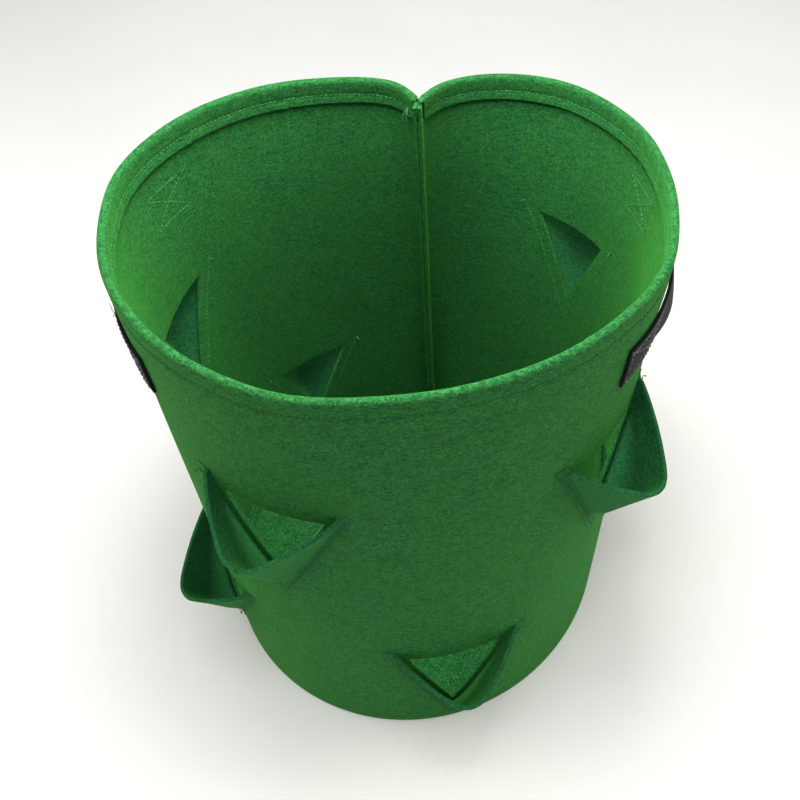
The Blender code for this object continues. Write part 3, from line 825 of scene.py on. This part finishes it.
@dataclass
class WallPanel:
    """The wall: one flat rectangle of felt, holed, then folded at its rim and foot and sewn up its side."""

    bag: BagShape
    pockets: Sequence[Pocket]
    hem_depth: float = 0.019
    hem_stitch: float = 0.0125
    side_allowance: float = 0.0125
    side_taper: float = 0.030
    foot_allowance: float = 0.012
    foot_stitch: float = 0.0075
    # The felt rolls over a little gap at its folds. The rim's roll is fatter than the foot's.
    foot_roll: float = 0.0016
    rim_roll: float = 0.0017
    # The side seam's corner starts this far from the seam
    seam_corner: float = 0.0034
    # The seam's two layers start this far under the rim, and part a little at their cut edges
    fin_drop: float = 0.0028
    fin_splay: float = 0.0003
    # Half the gap between those layers
    fin_gap: float = 0.00001
    # The hem's turned-in layer stops this far from the seam's middle
    hem_stop: float = 0.0031
    cell: float = 0.0042
    # The hem's turned-in layer gathers into sharper folds here, round the bag
    gathers: tuple = (0.106, 0.262, 0.43, 0.71, 0.905, 0.985)

    def __post_init__(self) -> None:
        """Works out the sheet's way from the foot's inside, round the outside, to the hem's cut edge."""
        half = self.bag.felt / 2
        turn = np.linspace(0, math.pi, 25)
        low = half + self.foot_roll
        high = self.bag.height - half - self.rim_roll
        foot_depth = -half - self.foot_roll * (1 + np.cos(turn))
        rim_depth = -half - self.rim_roll * (1 - np.cos(turn))
        drop = np.linspace(0, 1, 12)[1:]
        closing = self.rim_roll - (self.rim_roll - self.bag.felt / 2) * smooth(drop * 1.5)
        hem_end = self.bag.height - self.hem_depth
        self.profile_v = np.concatenate(
            [[self.foot_allowance], low - self.foot_roll * np.sin(turn), high + self.rim_roll * np.sin(turn)]
            + [high + (hem_end - high) * drop]
        )
        self.profile_w = np.concatenate([[foot_depth[0]], foot_depth, rim_depth, -half - 2 * closing])
        steps = np.hypot(np.diff(self.profile_v), np.diff(self.profile_w))
        self.profile_t = np.concatenate([[0], np.cumsum(steps)])
        self.flat_length = float(self.profile_t[-1])
        self.up_start = float(self.profile_t[len(turn)])
        self.up_offset = self.up_start - low
        self.rim_top = float(self.profile_t[len(turn) + 1 + len(turn) // 2])
        self.rim_end = float(self.profile_t[2 * len(turn)])
        self.fin_top = self.bag.height - self.fin_drop + self.up_offset
        self.foot_low = float(self.profile_t[1 + len(turn) // 2])

    def lines_up(self) -> Array:
        """Where the sheet's level grid lines are: close together at folds and stitches."""
        close = 0.0006
        marks = [np.arange(0.0, self.profile_t[1], 0.003)]
        marks.append(np.arange(self.profile_t[1], self.up_start, close))
        first, last = self.bag.felt / 2 + self.foot_roll, self.bag.height - self.hem_depth
        marks.append(np.arange(first, last, self.cell) + self.up_offset)
        rim_start = self.profile_t[26]
        marks.append(np.arange(last + self.up_offset, rim_start - close, 0.0012))
        marks.append(np.arange(rim_start, self.profile_t[50], close))
        marks.append(np.arange(self.profile_t[50] + 0.001, self.flat_length - close, 0.0013))
        marks.append(np.array([self.flat_length]))
        return np.unique(np.concatenate(marks))

    def lines_across(self) -> Array:
        """Where the sheet's upright grid lines are: close together at the side seam."""
        fin = -self.side_allowance * np.linspace(1, 0, 9)[:-1]
        corner = np.linspace(0, self.seam_corner, 8)[:-1]
        wall = np.linspace(self.seam_corner, self.bag.perimeter / 2, 130)
        half = np.concatenate([fin, corner, wall])
        return np.concatenate([half, (self.bag.perimeter - half)[::-1][1:]])

    def build(self, material: bpy.types.Material) -> bpy.types.Object:
        """Cuts, folds and sews the panel.

        Args:
            material: the felt.

        Returns:
            The panel.
        """
        panel = flat_cloth("felt_wall_panel", self.lines_across(), self.lines_up())
        self.cut(panel)
        write_uv(panel.data)
        flat = coordinates(panel.data)
        press(panel, self.pressed(flat))
        move_to(panel.data, self.sewn(flat[:, 0], flat[:, 1]))
        give_thickness(panel, self.bag.felt, 0.0, 0.0004)
        dress(panel, material, ["wall_panel"])
        return panel

    def cut(self, panel: bpy.types.Object) -> None:
        """Cuts the pockets' holes, and the corners that keep the hem and foot clear of the side seam."""
        shape = bmesh.new()
        shape.from_mesh(panel.data)
        for pocket in self.pockets:
            corners = [Vector((s, v + self.up_offset, 0.0)) for s, v in pocket.hole()]
            self.cut_triangle(shape, corners)
        doomed = []
        for face in shape.faces:
            u, t, _ = face.calc_center_median()
            in_fin = u < 0 or u > self.bag.perimeter
            if in_fin and not self.foot_low < t < self.fin_top:
                doomed.append(face)
        bmesh.ops.delete(shape, geom=doomed, context="FACES")
        shape.to_mesh(panel.data)
        shape.free()

    def cut_triangle(self, shape: bmesh.types.BMesh, corners: list[Vector]) -> None:
        """Cuts along a triangle's sides and takes out the felt inside it."""
        middle = sum(corners, Vector()) / 3
        sides = []
        for start, end in zip(corners, corners[1:] + corners[:1]):
            side = end - start
            normal = Vector((side.y, -side.x, 0.0)).normalized()
            if normal.dot(middle - start) > 0:
                normal.negate()
            sides.append((start, normal))
            faces = self.faces_near(shape, corners)
            geometry = list({edge for face in faces for edge in face.edges}) + faces
            geometry += list({vertex for face in faces for vertex in face.verts})
            bmesh.ops.bisect_plane(shape, geom=geometry, dist=1e-6, plane_co=start, plane_no=normal)
        taken = []
        for face in self.faces_near(shape, corners):
            at = face.calc_center_median()
            if all(normal.dot(at - start) < 0 for start, normal in sides):
                taken.append(face)
        bmesh.ops.delete(shape, geom=taken, context="FACES")

    def faces_near(self, shape: bmesh.types.BMesh, corners: list[Vector]) -> list[bmesh.types.BMFace]:
        """The faces round a hole."""
        low = [min(corner[axis] for corner in corners) - self.cell for axis in range(2)]
        high = [max(corner[axis] for corner in corners) + self.cell for axis in range(2)]
        inside = []
        for face in shape.faces:
            at = face.calc_center_median()
            if low[0] < at.x < high[0] and low[1] < at.y < high[1]:
                inside.append(face)
        return inside

    def pressed(self, flat: Array) -> Array:
        """What share of the felt's thickness the rows of stitches leave."""
        hem = self.bag.height - self.hem_stitch
        v = np.interp(flat[:, 1], self.profile_t, self.profile_v)
        from_hem = (v - hem) / 0.0014
        upper = flat[:, 1] > self.up_start + self.bag.height / 2
        return 1 - 0.38 * np.exp(-(from_hem**2)) * upper

    def taper(self, v: Array) -> Array:
        """The share of the side seam's allowance that is left, which narrows towards the base."""
        share = (v - self.foot_allowance) / self.side_taper
        least = 0.5
        return least + (1 - least) * smooth(share)

    def sewn(self, u: Array, t: Array) -> Array:
        """Where a place on the flat sheet is once the bag is sewn.

        Args:
            u: the way across the sheet, 0 at the seam and below 0 in its allowance.
            t: the way up the sheet, from the foot's cut edge.

        Returns:
            Rows of x, y, z.
        """
        v = np.interp(t, self.profile_t, self.profile_v)
        w = np.interp(t, self.profile_t, self.profile_w) + self.pucker(u, t, v)
        middle = self.bag.perimeter / 2
        mirrored = u > middle
        s = np.where(mirrored, self.bag.perimeter - u, u)
        held = np.maximum(s, self.seam_corner)
        real = np.where(mirrored, self.bag.perimeter - held, held)
        points = self.bag.point(real, v, w)
        sign = np.where(mirrored, -1.0, 1.0)
        along = self.bag.along(real, v / self.bag.height) * -sign[:, None]
        fin_x = sign * (self.bag.felt / 2 + self.fin_gap)
        reach = (fin_x - points[:, 0]) / along[:, 0]
        corner = points[:, :2] + along * reach[:, None]
        end = corner - np.stack([np.zeros_like(reach), reach], axis=1)
        share = 1 - np.clip(s / self.seam_corner, 0, 1)[:, None]
        bend = points[:, :2] * (1 - share) ** 2 + 2 * corner * share * (1 - share) + end * share**2
        stop = (sign * self.hem_stop - points[:, 0]) / along[:, 0]
        straight = points[:, :2] + along * (stop[:, None] * share)
        folded = smooth((t - self.rim_top) / (self.rim_end - self.rim_top))
        folded = np.maximum(folded, smooth((self.up_start - t) / (self.up_start - self.foot_low)))[:, None]
        turned = s < self.seam_corner
        points[:, :2] = np.where(turned[:, None], bend * (1 - folded) + straight * folded, points[:, :2])
        beyond = np.minimum(s, 0.0)
        points[:, 1] += beyond * self.taper(v)
        points[:, 0] -= sign * self.fin_splay * beyond / self.side_allowance
        return points

    def pucker(self, u: Array, t: Array, v: Array) -> Array:
        """How the hem's turned-in layer puckers: shallow folds, a few sharper, between rim and stitches."""
        below = (self.bag.height - v) / self.hem_depth
        held = smooth(below * 4) * (1 - 0.6 * smooth(np.abs(below - 0.66) * -8 + 1))
        turned_in = (t > self.rim_top) * held
        fine = np.sin(u * 2 * math.pi / 0.013 + 2.0 * np.sin(u * 23)) * 0.00022
        gathered = sum(np.exp(-(((u - place) / 0.0022) ** 2)) for place in self.gathers)
        return turned_in * (fine - 0.0009 * gathered)


@dataclass
class BaseDisc:
    """The base: one round of felt, whose edge is turned up inside the wall's foot and sewn to it."""

    bag: BagShape
    turned_up: float = 0.012
    fold: float = 0.0056
    clearance: float = 0.0010
    corner: float = 0.003
    around: int = 240
    rings: int = 36
    # How high the laid felt's waves are
    sag: float = 0.0006

    def build(self, material: bpy.types.Material) -> bpy.types.Object:
        """Cuts the round, turns its edge up and sets it in the foot."""
        place = np.linspace(0, 1, self.around + 1)
        reach = self.lines_out()
        cloth = flat_cloth("felt_base", place, reach)
        flat = coordinates(cloth.data)
        points, area = self.set_in(flat[:, 0], flat[:, 1])
        move_to(cloth.data, points)
        only(cloth)
        bpy.ops.object.mode_set(mode="EDIT")
        bpy.ops.mesh.select_all(action="SELECT")
        bpy.ops.mesh.remove_doubles(threshold=1e-5)
        bpy.ops.mesh.normals_make_consistent(inside=False)
        bpy.ops.object.mode_set(mode="OBJECT")
        give_thickness(cloth, self.bag.felt, 0.0, 0.0004)
        dress(cloth, material, ["base_disc"])
        return cloth

    def lines_out(self) -> Array:
        """Where the rings are: shares of the way out up to 1, then the way up the turned edge."""
        flat = np.concatenate([[0.0005], np.linspace(0.02, 0.97, self.rings)])
        return np.concatenate([flat, 1 + np.linspace(0, 1, 10)])

    def set_in(self, place: Array, reach: Array) -> tuple[Array, float]:
        """Turns rings into places.

        Args:
            place: the share of the way round.
            reach: the share of the way out, then 1 and the share of the way up the turned edge.

        Returns:
            Rows of x, y, z, and the round's flat area.
        """
        s = place * self.bag.perimeter * (1 - 1e-9)
        half = self.bag.felt / 2
        depth = -(self.fold + self.clearance + half)
        edge = self.bag.plan(s, np.zeros_like(s)) + self.bag.outward(s, np.zeros_like(s)) * depth
        size = np.linalg.norm(edge, axis=1)
        up = np.clip(reach - 1, 0, 1)
        bend = np.clip(up / 0.35, 0, 1) * math.pi / 2
        inner = edge * (1 - self.corner / size)[:, None]
        outwards = edge / size[:, None]
        flat = inner * np.clip(reach, 0, 1)[:, None] + outwards * (self.corner * np.sin(bend))[:, None]
        rise = half + self.corner * (1 - np.cos(bend))
        rise = rise + np.clip((up - 0.35) / 0.65, 0, 1) * (self.turned_up - half - self.corner)
        sag = self.sag * np.sin(s * 40 + 1) * np.sin(np.clip(reach, 0, 1) * 9) * (up == 0)
        area = math.pi * (float(size.mean()) + self.turned_up - self.corner) ** 2
        return np.stack([flat[:, 0], flat[:, 1], rise + np.abs(sag) * np.clip(reach, 0, 1)], axis=1), area


@dataclass
class PocketFlap:
    """A three-cornered felt flap: sewn down along two sides, and standing out as a beak along the third."""

    pocket: Pocket
    nose_shift: float = 0.0
    nose_out: float = 1.0
    nose_rise: float = 0.0
    lip_steps: int = 46
    # Rises of the level rows that lie flat on the wall, below the fold
    tip: tuple = (0.0025, 0.0050, 0.0080)
    rows_up: int = 34
    corner_ease: float = 0.006

    def lip(self) -> Array:
        """The free edge between the folds, as rows of (along, out, rise) from the fold's point."""
        pocket = self.pocket
        fold = pocket.point_rise(pocket.margin)
        corner = np.array([float(pocket.half_width(pocket.margin, pocket.depth)), 0.0, pocket.depth - fold])
        middle = math.sqrt(corner @ corner - (pocket.flap_width / 2) ** 2)
        lean = math.acos(middle / np.linalg.norm(corner) / math.cos(pocket.angle))
        nose = np.array([self.nose_shift, middle * math.sin(lean) * self.nose_out, middle * math.cos(lean)])
        nose[2] += self.nose_rise
        other = corner * (-1, 1, 1)
        halves = [self.half_lip(side, nose) for side in (corner, other)]
        way = np.concatenate([halves[0], halves[1][::-1]])
        return self.even(way)

    def half_lip(self, corner: Array, nose: Array) -> Array:
        """The lip from a fold to just short of its rounded nose."""
        inward = np.array([-math.copysign(1.0, corner[0]), 0.0, 0.0])
        ahead = (nose - corner) / np.linalg.norm(nose - corner)
        ease = self.corner_ease
        eased = self.bezier(corner, corner + inward * ease * 0.5, corner + ahead * ease)
        start = nose - ahead * self.pocket.nose_round
        end = nose - ahead * (-1, 1, 1) * self.pocket.nose_round
        rounded = self.bezier(start, nose, end)[: len(eased) // 2 + 1]
        return np.concatenate([eased, rounded])

    def bezier(self, start: Array, middle: Array, end: Array) -> Array:
        """A quadratic curve."""
        share = np.linspace(0, 1, 17)[:, None]
        return start * (1 - share) ** 2 + 2 * middle * share * (1 - share) + end * share**2

    def even(self, way: Array) -> Array:
        """Points at even steps along a line."""
        steps = np.concatenate([[0], np.cumsum(np.linalg.norm(np.diff(way, axis=0), axis=1))])
        places = np.linspace(0, steps[-1], self.lip_steps + 1)
        return np.stack([np.interp(places, steps, way[:, axis]) for axis in range(3)], axis=1)

    def build(self, material: bpy.types.Material) -> bpy.types.Object:
        """Cuts the flap, folds it and lays it on the wall."""
        pocket = self.pocket
        lip = self.lip()
        columns = len(lip) + 4
        fold = pocket.point_rise(pocket.margin)
        shares = np.concatenate([[0.02], np.linspace(0.06, 1, self.rows_up)])
        name = f"felt_flap_{pocket.number}"
        cloth = flat_cloth(name, np.arange(float(columns)), np.arange(float(len(self.tip) + len(shares))))
        rows = [self.flat_row(rise, columns) for rise in self.tip]
        rows += [self.lifted_row(share, lip, fold) for share in shares]
        grid = np.array(rows).reshape(-1, 3)
        self.lay_out(cloth, grid)
        press(cloth, self.pressed(grid))
        move_to(cloth.data, self.on_wall(grid))
        give_thickness(cloth, pocket.bag.felt, -1.0, 0.0004)
        dress(cloth, material, [f"pocket_flap_{pocket.number}"])
        self.area()
        return cloth

    def flat_row(self, rise: float, columns: int) -> Array:
        """A level row below the fold's point, flat on the wall."""
        half = float(self.pocket.half_width(0.0, rise))
        inner = min(half * 0.5, 0.0012)
        across = np.concatenate([np.linspace(half, inner, 3)[:2], np.linspace(inner, -inner, columns - 4)])
        across = np.concatenate([across, np.linspace(-inner, -half, 3)[1:]])
        return np.stack([across, np.zeros(columns), np.full(columns, rise)], axis=1)

    def lifted_row(self, share: float, lip: Array, fold: float) -> Array:
        """A row across the flap: a sewn margin, the beak at this share of its size, and the other margin."""
        beak = lip * share + (0.0, 0.0, fold)
        beak[:, 1] *= smooth(np.array(share / 0.3)) * 0.6 + 0.4 * min(share / 0.3, 1.0)
        ends = []
        for row, side in ((beak[0], 1), (beak[-1], -1)):
            edge = np.array([side * float(self.pocket.half_width(0.0, row[2])), 0.0, row[2]])
            ends.append([edge, (edge + row) / 2])
        return np.concatenate([ends[0], beak, ends[1][::-1]])

    def pressed(self, grid: Array) -> Array:
        """What share of the felt's thickness the V of stitches leaves."""
        inset = self.pocket.stitch_inset
        line = self.pocket.half_width(inset, grid[:, 2])
        away = (np.abs(grid[:, 0]) - line) * math.cos(self.pocket.angle)
        return 1 - 0.35 * np.exp(-((away / 0.0016) ** 2)) * (grid[:, 1] < 1e-6)

    def lay_out(self, cloth: bpy.types.Object, grid: Array) -> None:
        """Writes the flap's flat pattern as its UV map."""
        move_to(cloth.data, np.stack([grid[:, 0], grid[:, 2], np.zeros(len(grid))], axis=1))
        write_uv(cloth.data)

    def on_wall(self, grid: Array) -> Array:
        """The places of (along, out, rise) rows on the standing wall."""
        pocket = self.pocket
        along, out, rise = grid.T
        return pocket.bag.point(pocket.middle + along, pocket.foot + rise, pocket.clearance + out)

    def area(self) -> float:
        """The flap's flat area: a fan of the beak and two straight margins."""
        lip = self.lip()
        fan = np.linalg.norm(np.cross(lip[:-1], lip[1:]), axis=1).sum() / 2
        side = math.hypot(self.pocket.width / 2, self.pocket.depth)
        return float(fan + 2 * side * self.pocket.margin)


# ---------------------------------------------------------------------------------------------------
# Handles
# ---------------------------------------------------------------------------------------------------


@dataclass
class Handle:
    """A flat strap sewn to the wall at both ends, whose free middle lifts. It is made in two halves."""

    bag: BagShape
    side: Side
    width: float = 0.030
    thickness: float = 0.0020
    middle: float = 0.300
    span: float = 0.100
    end: float = 0.045
    drop: float = 0.048
    # How far out the free middle's upper and lower edges bow, and its slight crown
    bow_top: float = 0.0014
    bow_bottom: float = 0.0085
    crown: float = 0.0004
    clearance: float = 0.0003
    blend_way: float = 0.028
    box_length: float = 0.040
    box_height: float = 0.025

    def __post_init__(self) -> None:
        """Works out where the strap is."""
        self.centre = self.middle if self.side is Side.RIGHT else self.bag.perimeter - self.middle
        self.level = self.bag.height - self.drop
        self.body = f"handle_{self.side.value}"

    def surface(self, s: Array, across: Array) -> Array:
        """A place on the strap, across it from -1 at its lower edge to 1 at its upper edge."""
        share = np.clip((s - self.centre) / self.span + 0.5, 0, 1)
        bow = (4 * share * (1 - share)) ** 1.15
        lean = (across + 1) / 2
        depth = self.bow_bottom * (1 - lean) + self.bow_top * lean
        crown = self.crown * (1 - across**2)
        return self.bag.point(s, self.level + across * self.width / 2, self.clearance + depth * bow + crown)

    def half(self, name: str, start: float, end: float, material: bpy.types.Material) -> bpy.types.Object:
        """One half of the strap, from a sewn end to the middle.

        Args:
            name: front or back.
            start: s of the sewn end's cut edge.
            end: s of the strap's middle.
            material: the webbing.

        Returns:
            The half strap.
        """
        way = np.linspace(min(start, end), max(start, end), 64)
        across = np.linspace(-1, 1, 13)
        cloth = flat_cloth(f"strap_{self.side.value}_{name}", way, across * self.width / 2)
        flat = coordinates(cloth.data)
        move_to(cloth.data, self.surface(flat[:, 0], flat[:, 1] / (self.width / 2)))
        give_thickness(cloth, self.thickness, -1.0, 0.0005)
        nodes = [f"handle_{self.side.value}_{name}_end", f"handle_{self.side.value}_loop"]
        dress(cloth, material, nodes, body=None)
        inward = math.copysign(1.0, end - start)
        leave = start + inward * self.end
        first = self.surface(np.array(leave), np.array(0.0))
        last = self.surface(np.array(leave + inward * self.blend_way), np.array(0.0))
        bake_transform(cloth)
        return cloth

    def build(self, material: bpy.types.Material) -> None:
        """Makes both halves."""
        for name, start in self.ends().items():
            self.half(name, start, self.centre, material)

    def ends(self) -> dict[str, float]:
        """s of the cut edge of the front and the back sewn end."""
        reach = self.span / 2 + self.end
        sign = 1 if self.side is Side.RIGHT else -1
        return {"front": self.centre + sign * reach, "back": self.centre - sign * reach}

    def box_line(self, name: str) -> Array:
        """The way of the box and cross at one sewn end, as rows of (s, v)."""
        start = self.ends()[name]
        middle = start + math.copysign(self.end / 2, self.centre - start)
        corners = ((1, 1), (-1, 1), (-1, -1), (1, -1), (1, 1), (-1, -1), (-1, 1), (1, -1))
        half = np.array([self.box_length / 2, self.box_height / 2])
        return np.array([(middle, self.level) + half * corner for corner in corners])


# ---------------------------------------------------------------------------------------------------
# The studio
# ---------------------------------------------------------------------------------------------------


@dataclass
class Studio:
    """A pale floor, soft lights and the camera."""

    eye: tuple[float, float, float] = (0.0659, -0.4526, 0.6976)
    yaw: float = -9.2
    pitch: float = 47.69
    roll: float = -3.56
    lens: float = 38.25
    sensor: float = 36.0
    ambient: float = 0.42
    # Each light: name, place, what it faces, width, power in watts, colour
    lights: tuple = field(
        default=(
            ("overhead", (0.0, 0.0, 0.74), (0.0, 0.0, 0.2), 0.30, 4.6, "#FBFFF8"),
            ("sky", (0.0, -0.6, 2.4), (0.0, 0.0, 0.1), 2.4, 34.0, "#FFFFFF"),
            ("far", (0.0, 1.7, 1.2), (0.0, 1.7, 0.0), 1.2, 4.0, "#FFFFFF"),
            ("right", (1.5, 0.1, 0.8), (0.0, 0.0, 0.15), 0.8, 6.0, "#FFF2D8"),
            ("left", (-1.5, 0.1, 0.9), (0.0, 0.0, 0.2), 0.8, 6.0, "#FFF6E4"),
        )
    )

    def build(self) -> None:
        """Sets the studio up."""
        bpy.context.scene.view_settings.view_transform = "Standard"
        self.floor()
        self.surroundings()
        for name, place, faces, size, power, colour in self.lights:
            self.light(name, Vector(place), Vector(faces), size, power, colour)
        self.camera()

    def floor(self) -> None:
        """A wide level floor."""
        bpy.ops.object.select_all(action="DESELECT")
        bpy.ops.mesh.primitive_circle_add(vertices=96, radius=6.0, fill_type="NGON")
        ground = bpy.context.object
        ground.name = "floor"
        ground.data.materials.append(Sweep().make())

    def surroundings(self) -> None:
        """An even pale world."""
        world = bpy.data.worlds.new("studio")
        world.use_nodes = True
        light = world.node_tree.nodes["Background"]
        light.inputs["Color"].default_value = linear("#FFFFFF")
        light.inputs["Strength"].default_value = self.ambient
        bpy.context.scene.world = world

    def light(self, name: str, place: Vector, faces: Vector, size: float, power: float, colour: str) -> None:
        """A soft square light that faces a point."""
        lamp = bpy.data.lights.new(name, "AREA")
        lamp.color = linear(colour)[:3]
        lamp.size = size
        lamp.energy = power
        made = bpy.data.objects.new(name, lamp)
        made.location = place
        made.rotation_euler = (faces - place).to_track_quat("-Z", "Y").to_euler()
        made.visible_camera = False
        bpy.context.scene.collection.objects.link(made)

    def camera(self) -> None:
        """The camera, turned by its yaw, pitch and roll."""
        yaw, pitch, roll = (math.radians(angle) for angle in (self.yaw, self.pitch, self.roll))
        ahead = Vector((math.sin(yaw) * math.cos(pitch), math.cos(yaw) * math.cos(pitch), -math.sin(pitch)))
        level = Vector((math.cos(yaw), -math.sin(yaw), 0.0))
        top = level.cross(ahead)
        right = level * math.cos(roll) + top * math.sin(roll)
        up = top * math.cos(roll) - level * math.sin(roll)
        lens = bpy.data.cameras.new("camera")
        lens.lens = self.lens
        lens.sensor_width = self.sensor
        lens.clip_start = 0.01
        made = bpy.data.objects.new("camera", lens)
        turn = Matrix((right, up, -ahead)).transposed().to_4x4()
        made.matrix_world = Matrix.Translation(Vector(self.eye)) @ turn
        bpy.context.scene.collection.objects.link(made)
        bpy.context.scene.camera = made


# ---------------------------------------------------------------------------------------------------
# The whole bag
# ---------------------------------------------------------------------------------------------------


@dataclass
class GrowBag:
    """The bag's pieces, in the order that they are made."""

    bag: BagShape = field(default_factory=BagShape)
    # Seeds of the random draws: how the noses settle, then how unevenly each kind of row is sewn
    nose_seed: int = 8
    pocket_seed: int = 100
    box_seed: int = 200
    long_seed: int = 300
    side_seed: int = 400
    # How far thread stands clear of the wall's inner face, of webbing, and of the side seam's faces
    inner_clear: float = 0.00005
    webbing_clear: float = 0.0003
    side_clear: float = 0.0002
    # The side seam's stitches lie this far in from its corner
    side_inset: float = 0.0080

    def __post_init__(self) -> None:
        """Makes the finishes and the sewing."""
        self.felt = NeedledFelt("green_felt", "#103820", "#17512A", "#36863E", "#255A1E").make()
        self.flap_felt = NeedledFelt("green_flap_felt", "#103A20", "#18522E", "#2C7846", "#1E5A27").make()
        # Each thread: its name, its own colour, then the painted shade of the turns between its plies
        self.green = SewingThread("green_thread", "#246436", "#123D1F").make()
        self.lit_green = SewingThread("light_green_thread", "#3F9052", "#1F5C30").make()
        self.grey = SewingThread("grey_thread", "#83888A", "#45494B").make()
        self.webbing = Webbing().make()
        self.pockets = [Pocket(number, self.bag) for number in range(1, 9)]
        self.sewing = Seamstress(self.bag)

    def build(self) -> None:
        """Makes every piece."""
        self.panel = WallPanel(self.bag, self.pockets)
        self.panel.build(self.felt)
        BaseDisc(self.bag).build(self.felt)
        rng = np.random.default_rng(self.nose_seed)
        for pocket in self.pockets:
            shift, out, rise = rng.uniform(-1, 1, 3)
            shift, out, rise = NOSES.get(pocket.number, (shift * 0.004, 1 + 0.05 * out, rise * 0.002))
            flap = PocketFlap(pocket, shift, out, rise)
            flap.build(self.flap_felt)
            self.sew_pocket(pocket)
        for side in Side:
            handle = Handle(self.bag, side)
            handle.build(self.webbing)
            self.sew_handle(handle)
        self.sew_long_rows()

    def sew_pocket(self, pocket: Pocket) -> None:
        """Sews a flap down, outside and inside."""
        line = pocket.stitch_line()
        outer = pocket.clearance + self.bag.felt * 0.72
        for face, w in ((Face.OUTER, outer), (Face.INNER, -self.bag.felt - self.inner_clear)):
            stitches = self.sewing.row(line, w, face, self.pocket_seed + pocket.number)
            tails = []
            for s, v in (line[0], line[-1]):
                lean = (math.copysign(0.4, s - pocket.middle), -0.6 + 0.2 * (pocket.number % 3), 0.45)
                tails.append(self.sewing.tail(s, v, w, lean, 0.004))
            name = f"pocket_stitches_{face.value}_{pocket.number}"
            piece = self.sewing.piece(name, stitches, tails)
            thread = self.green if face is Face.OUTER else self.lit_green
            dress(piece, thread, [f"pocket_thread_{face.value}_{pocket.number}"])

    def sew_handle(self, handle: Handle) -> None:
        """Sews a strap's two ends down with a box and cross, which shows inside the bag too."""
        outer = handle.clearance + handle.thickness + self.webbing_clear
        rows = (
            (Face.OUTER, outer, self.grey, "thread_grey"),
            (Face.INNER, -self.bag.felt - self.inner_clear, self.lit_green, "thread_green"),
        )
        leans = (((0.5, 0.7, 0.15), 0.007), ((-0.7, 0.2, 0.15), 0.005))
        for index, name in enumerate(("front", "back"), start=1):
            line = handle.box_line(name)
            for face, w, material, slot in rows:
                stitches = self.sewing.row(line, w, face, self.box_seed + index)
                tails = [self.sewing.tail(*line[0], w, lean, length) for lean, length in leans]
                where = f"{face.value}_{handle.side.value}_{name}"
                piece = self.sewing.piece(f"box_sewing_{where}", stitches, tails)
                dress(piece, material, [f"box_stitches_{where}"])

    def sew_long_rows(self) -> None:
        """Sews the hem, the base's seam and the side seam."""
        panel = self.panel
        clear = panel.seam_corner + 0.001
        way = np.arange(clear, self.bag.perimeter - clear, self.sewing.pitch)
        hem = self.bag.height - panel.hem_stitch
        # Each row: its piece, its CAD node, its face, its height, how far out it lies, and its loose ends
        ends = (((0.5, -0.8, 0.4), 0.010), ((0.9, -0.3, 0.5), 0.008), ((0.1, -0.9, 0.5), 0.012))
        rows = (
            ("hem_stitches_outer", "hem_thread_outer", Face.OUTER, hem, -0.00045, ()),
            ("hem_stitches_inner", "hem_thread_inner", Face.INNER, hem, -0.0052, ends),
            ("base_stitches", "base_seam_thread", Face.INNER, panel.foot_stitch, -0.0095, ()),
        )
        for name, node, face, v, w, leans in rows:
            line = np.stack([way, np.full(len(way), v)], axis=1)
            stitches = self.sewing.row(line, w, face, self.long_seed)
            tails = [self.sewing.tail(way[-1], v, w, lean, length) for lean, length in leans]
            thread = self.green if face is Face.OUTER else self.lit_green
            dress(self.sewing.piece(name, stitches, tails), thread, [node])
        self.sew_side()

    def sew_side(self) -> None:
        """Sews the side seam's two layers together, with a row on each face of the fin."""
        panel = self.panel
        rng = np.random.default_rng(self.side_seed)
        low, high = panel.foot_allowance + panel.side_taper, self.bag.height - panel.hem_stitch
        ways = np.arange(low, high, self.sewing.pitch)
        for side, sign in (("right", 1.0), ("left", -1.0)):
            x = sign * (self.bag.felt + self.side_clear)
            ends = []
            for v in (ways + 0.0003, ways + 0.0003 + self.sewing.length):
                seam = self.bag.point(np.zeros(len(v)), v, 0.0)
                ends.append(np.stack([np.full(len(v), x), seam[:, 1] - self.side_inset, seam[:, 2]], axis=1))
            normal = np.tile([sign, 0.0, 0.0], (len(ways), 1))
            stitches = self.sewing.place(*ends, normal, rng)
            piece = self.sewing.piece(f"side_stitches_{side}", stitches)
            dress(piece, self.green, [f"side_seam_thread_{side}"])


def main() -> None:
    """Builds the bag and the studio."""
    logging.basicConfig(level=logging.INFO, format="%(message)s")
    GrowBag().build()
    Studio().build()


if __name__ == "__main__":
    main()
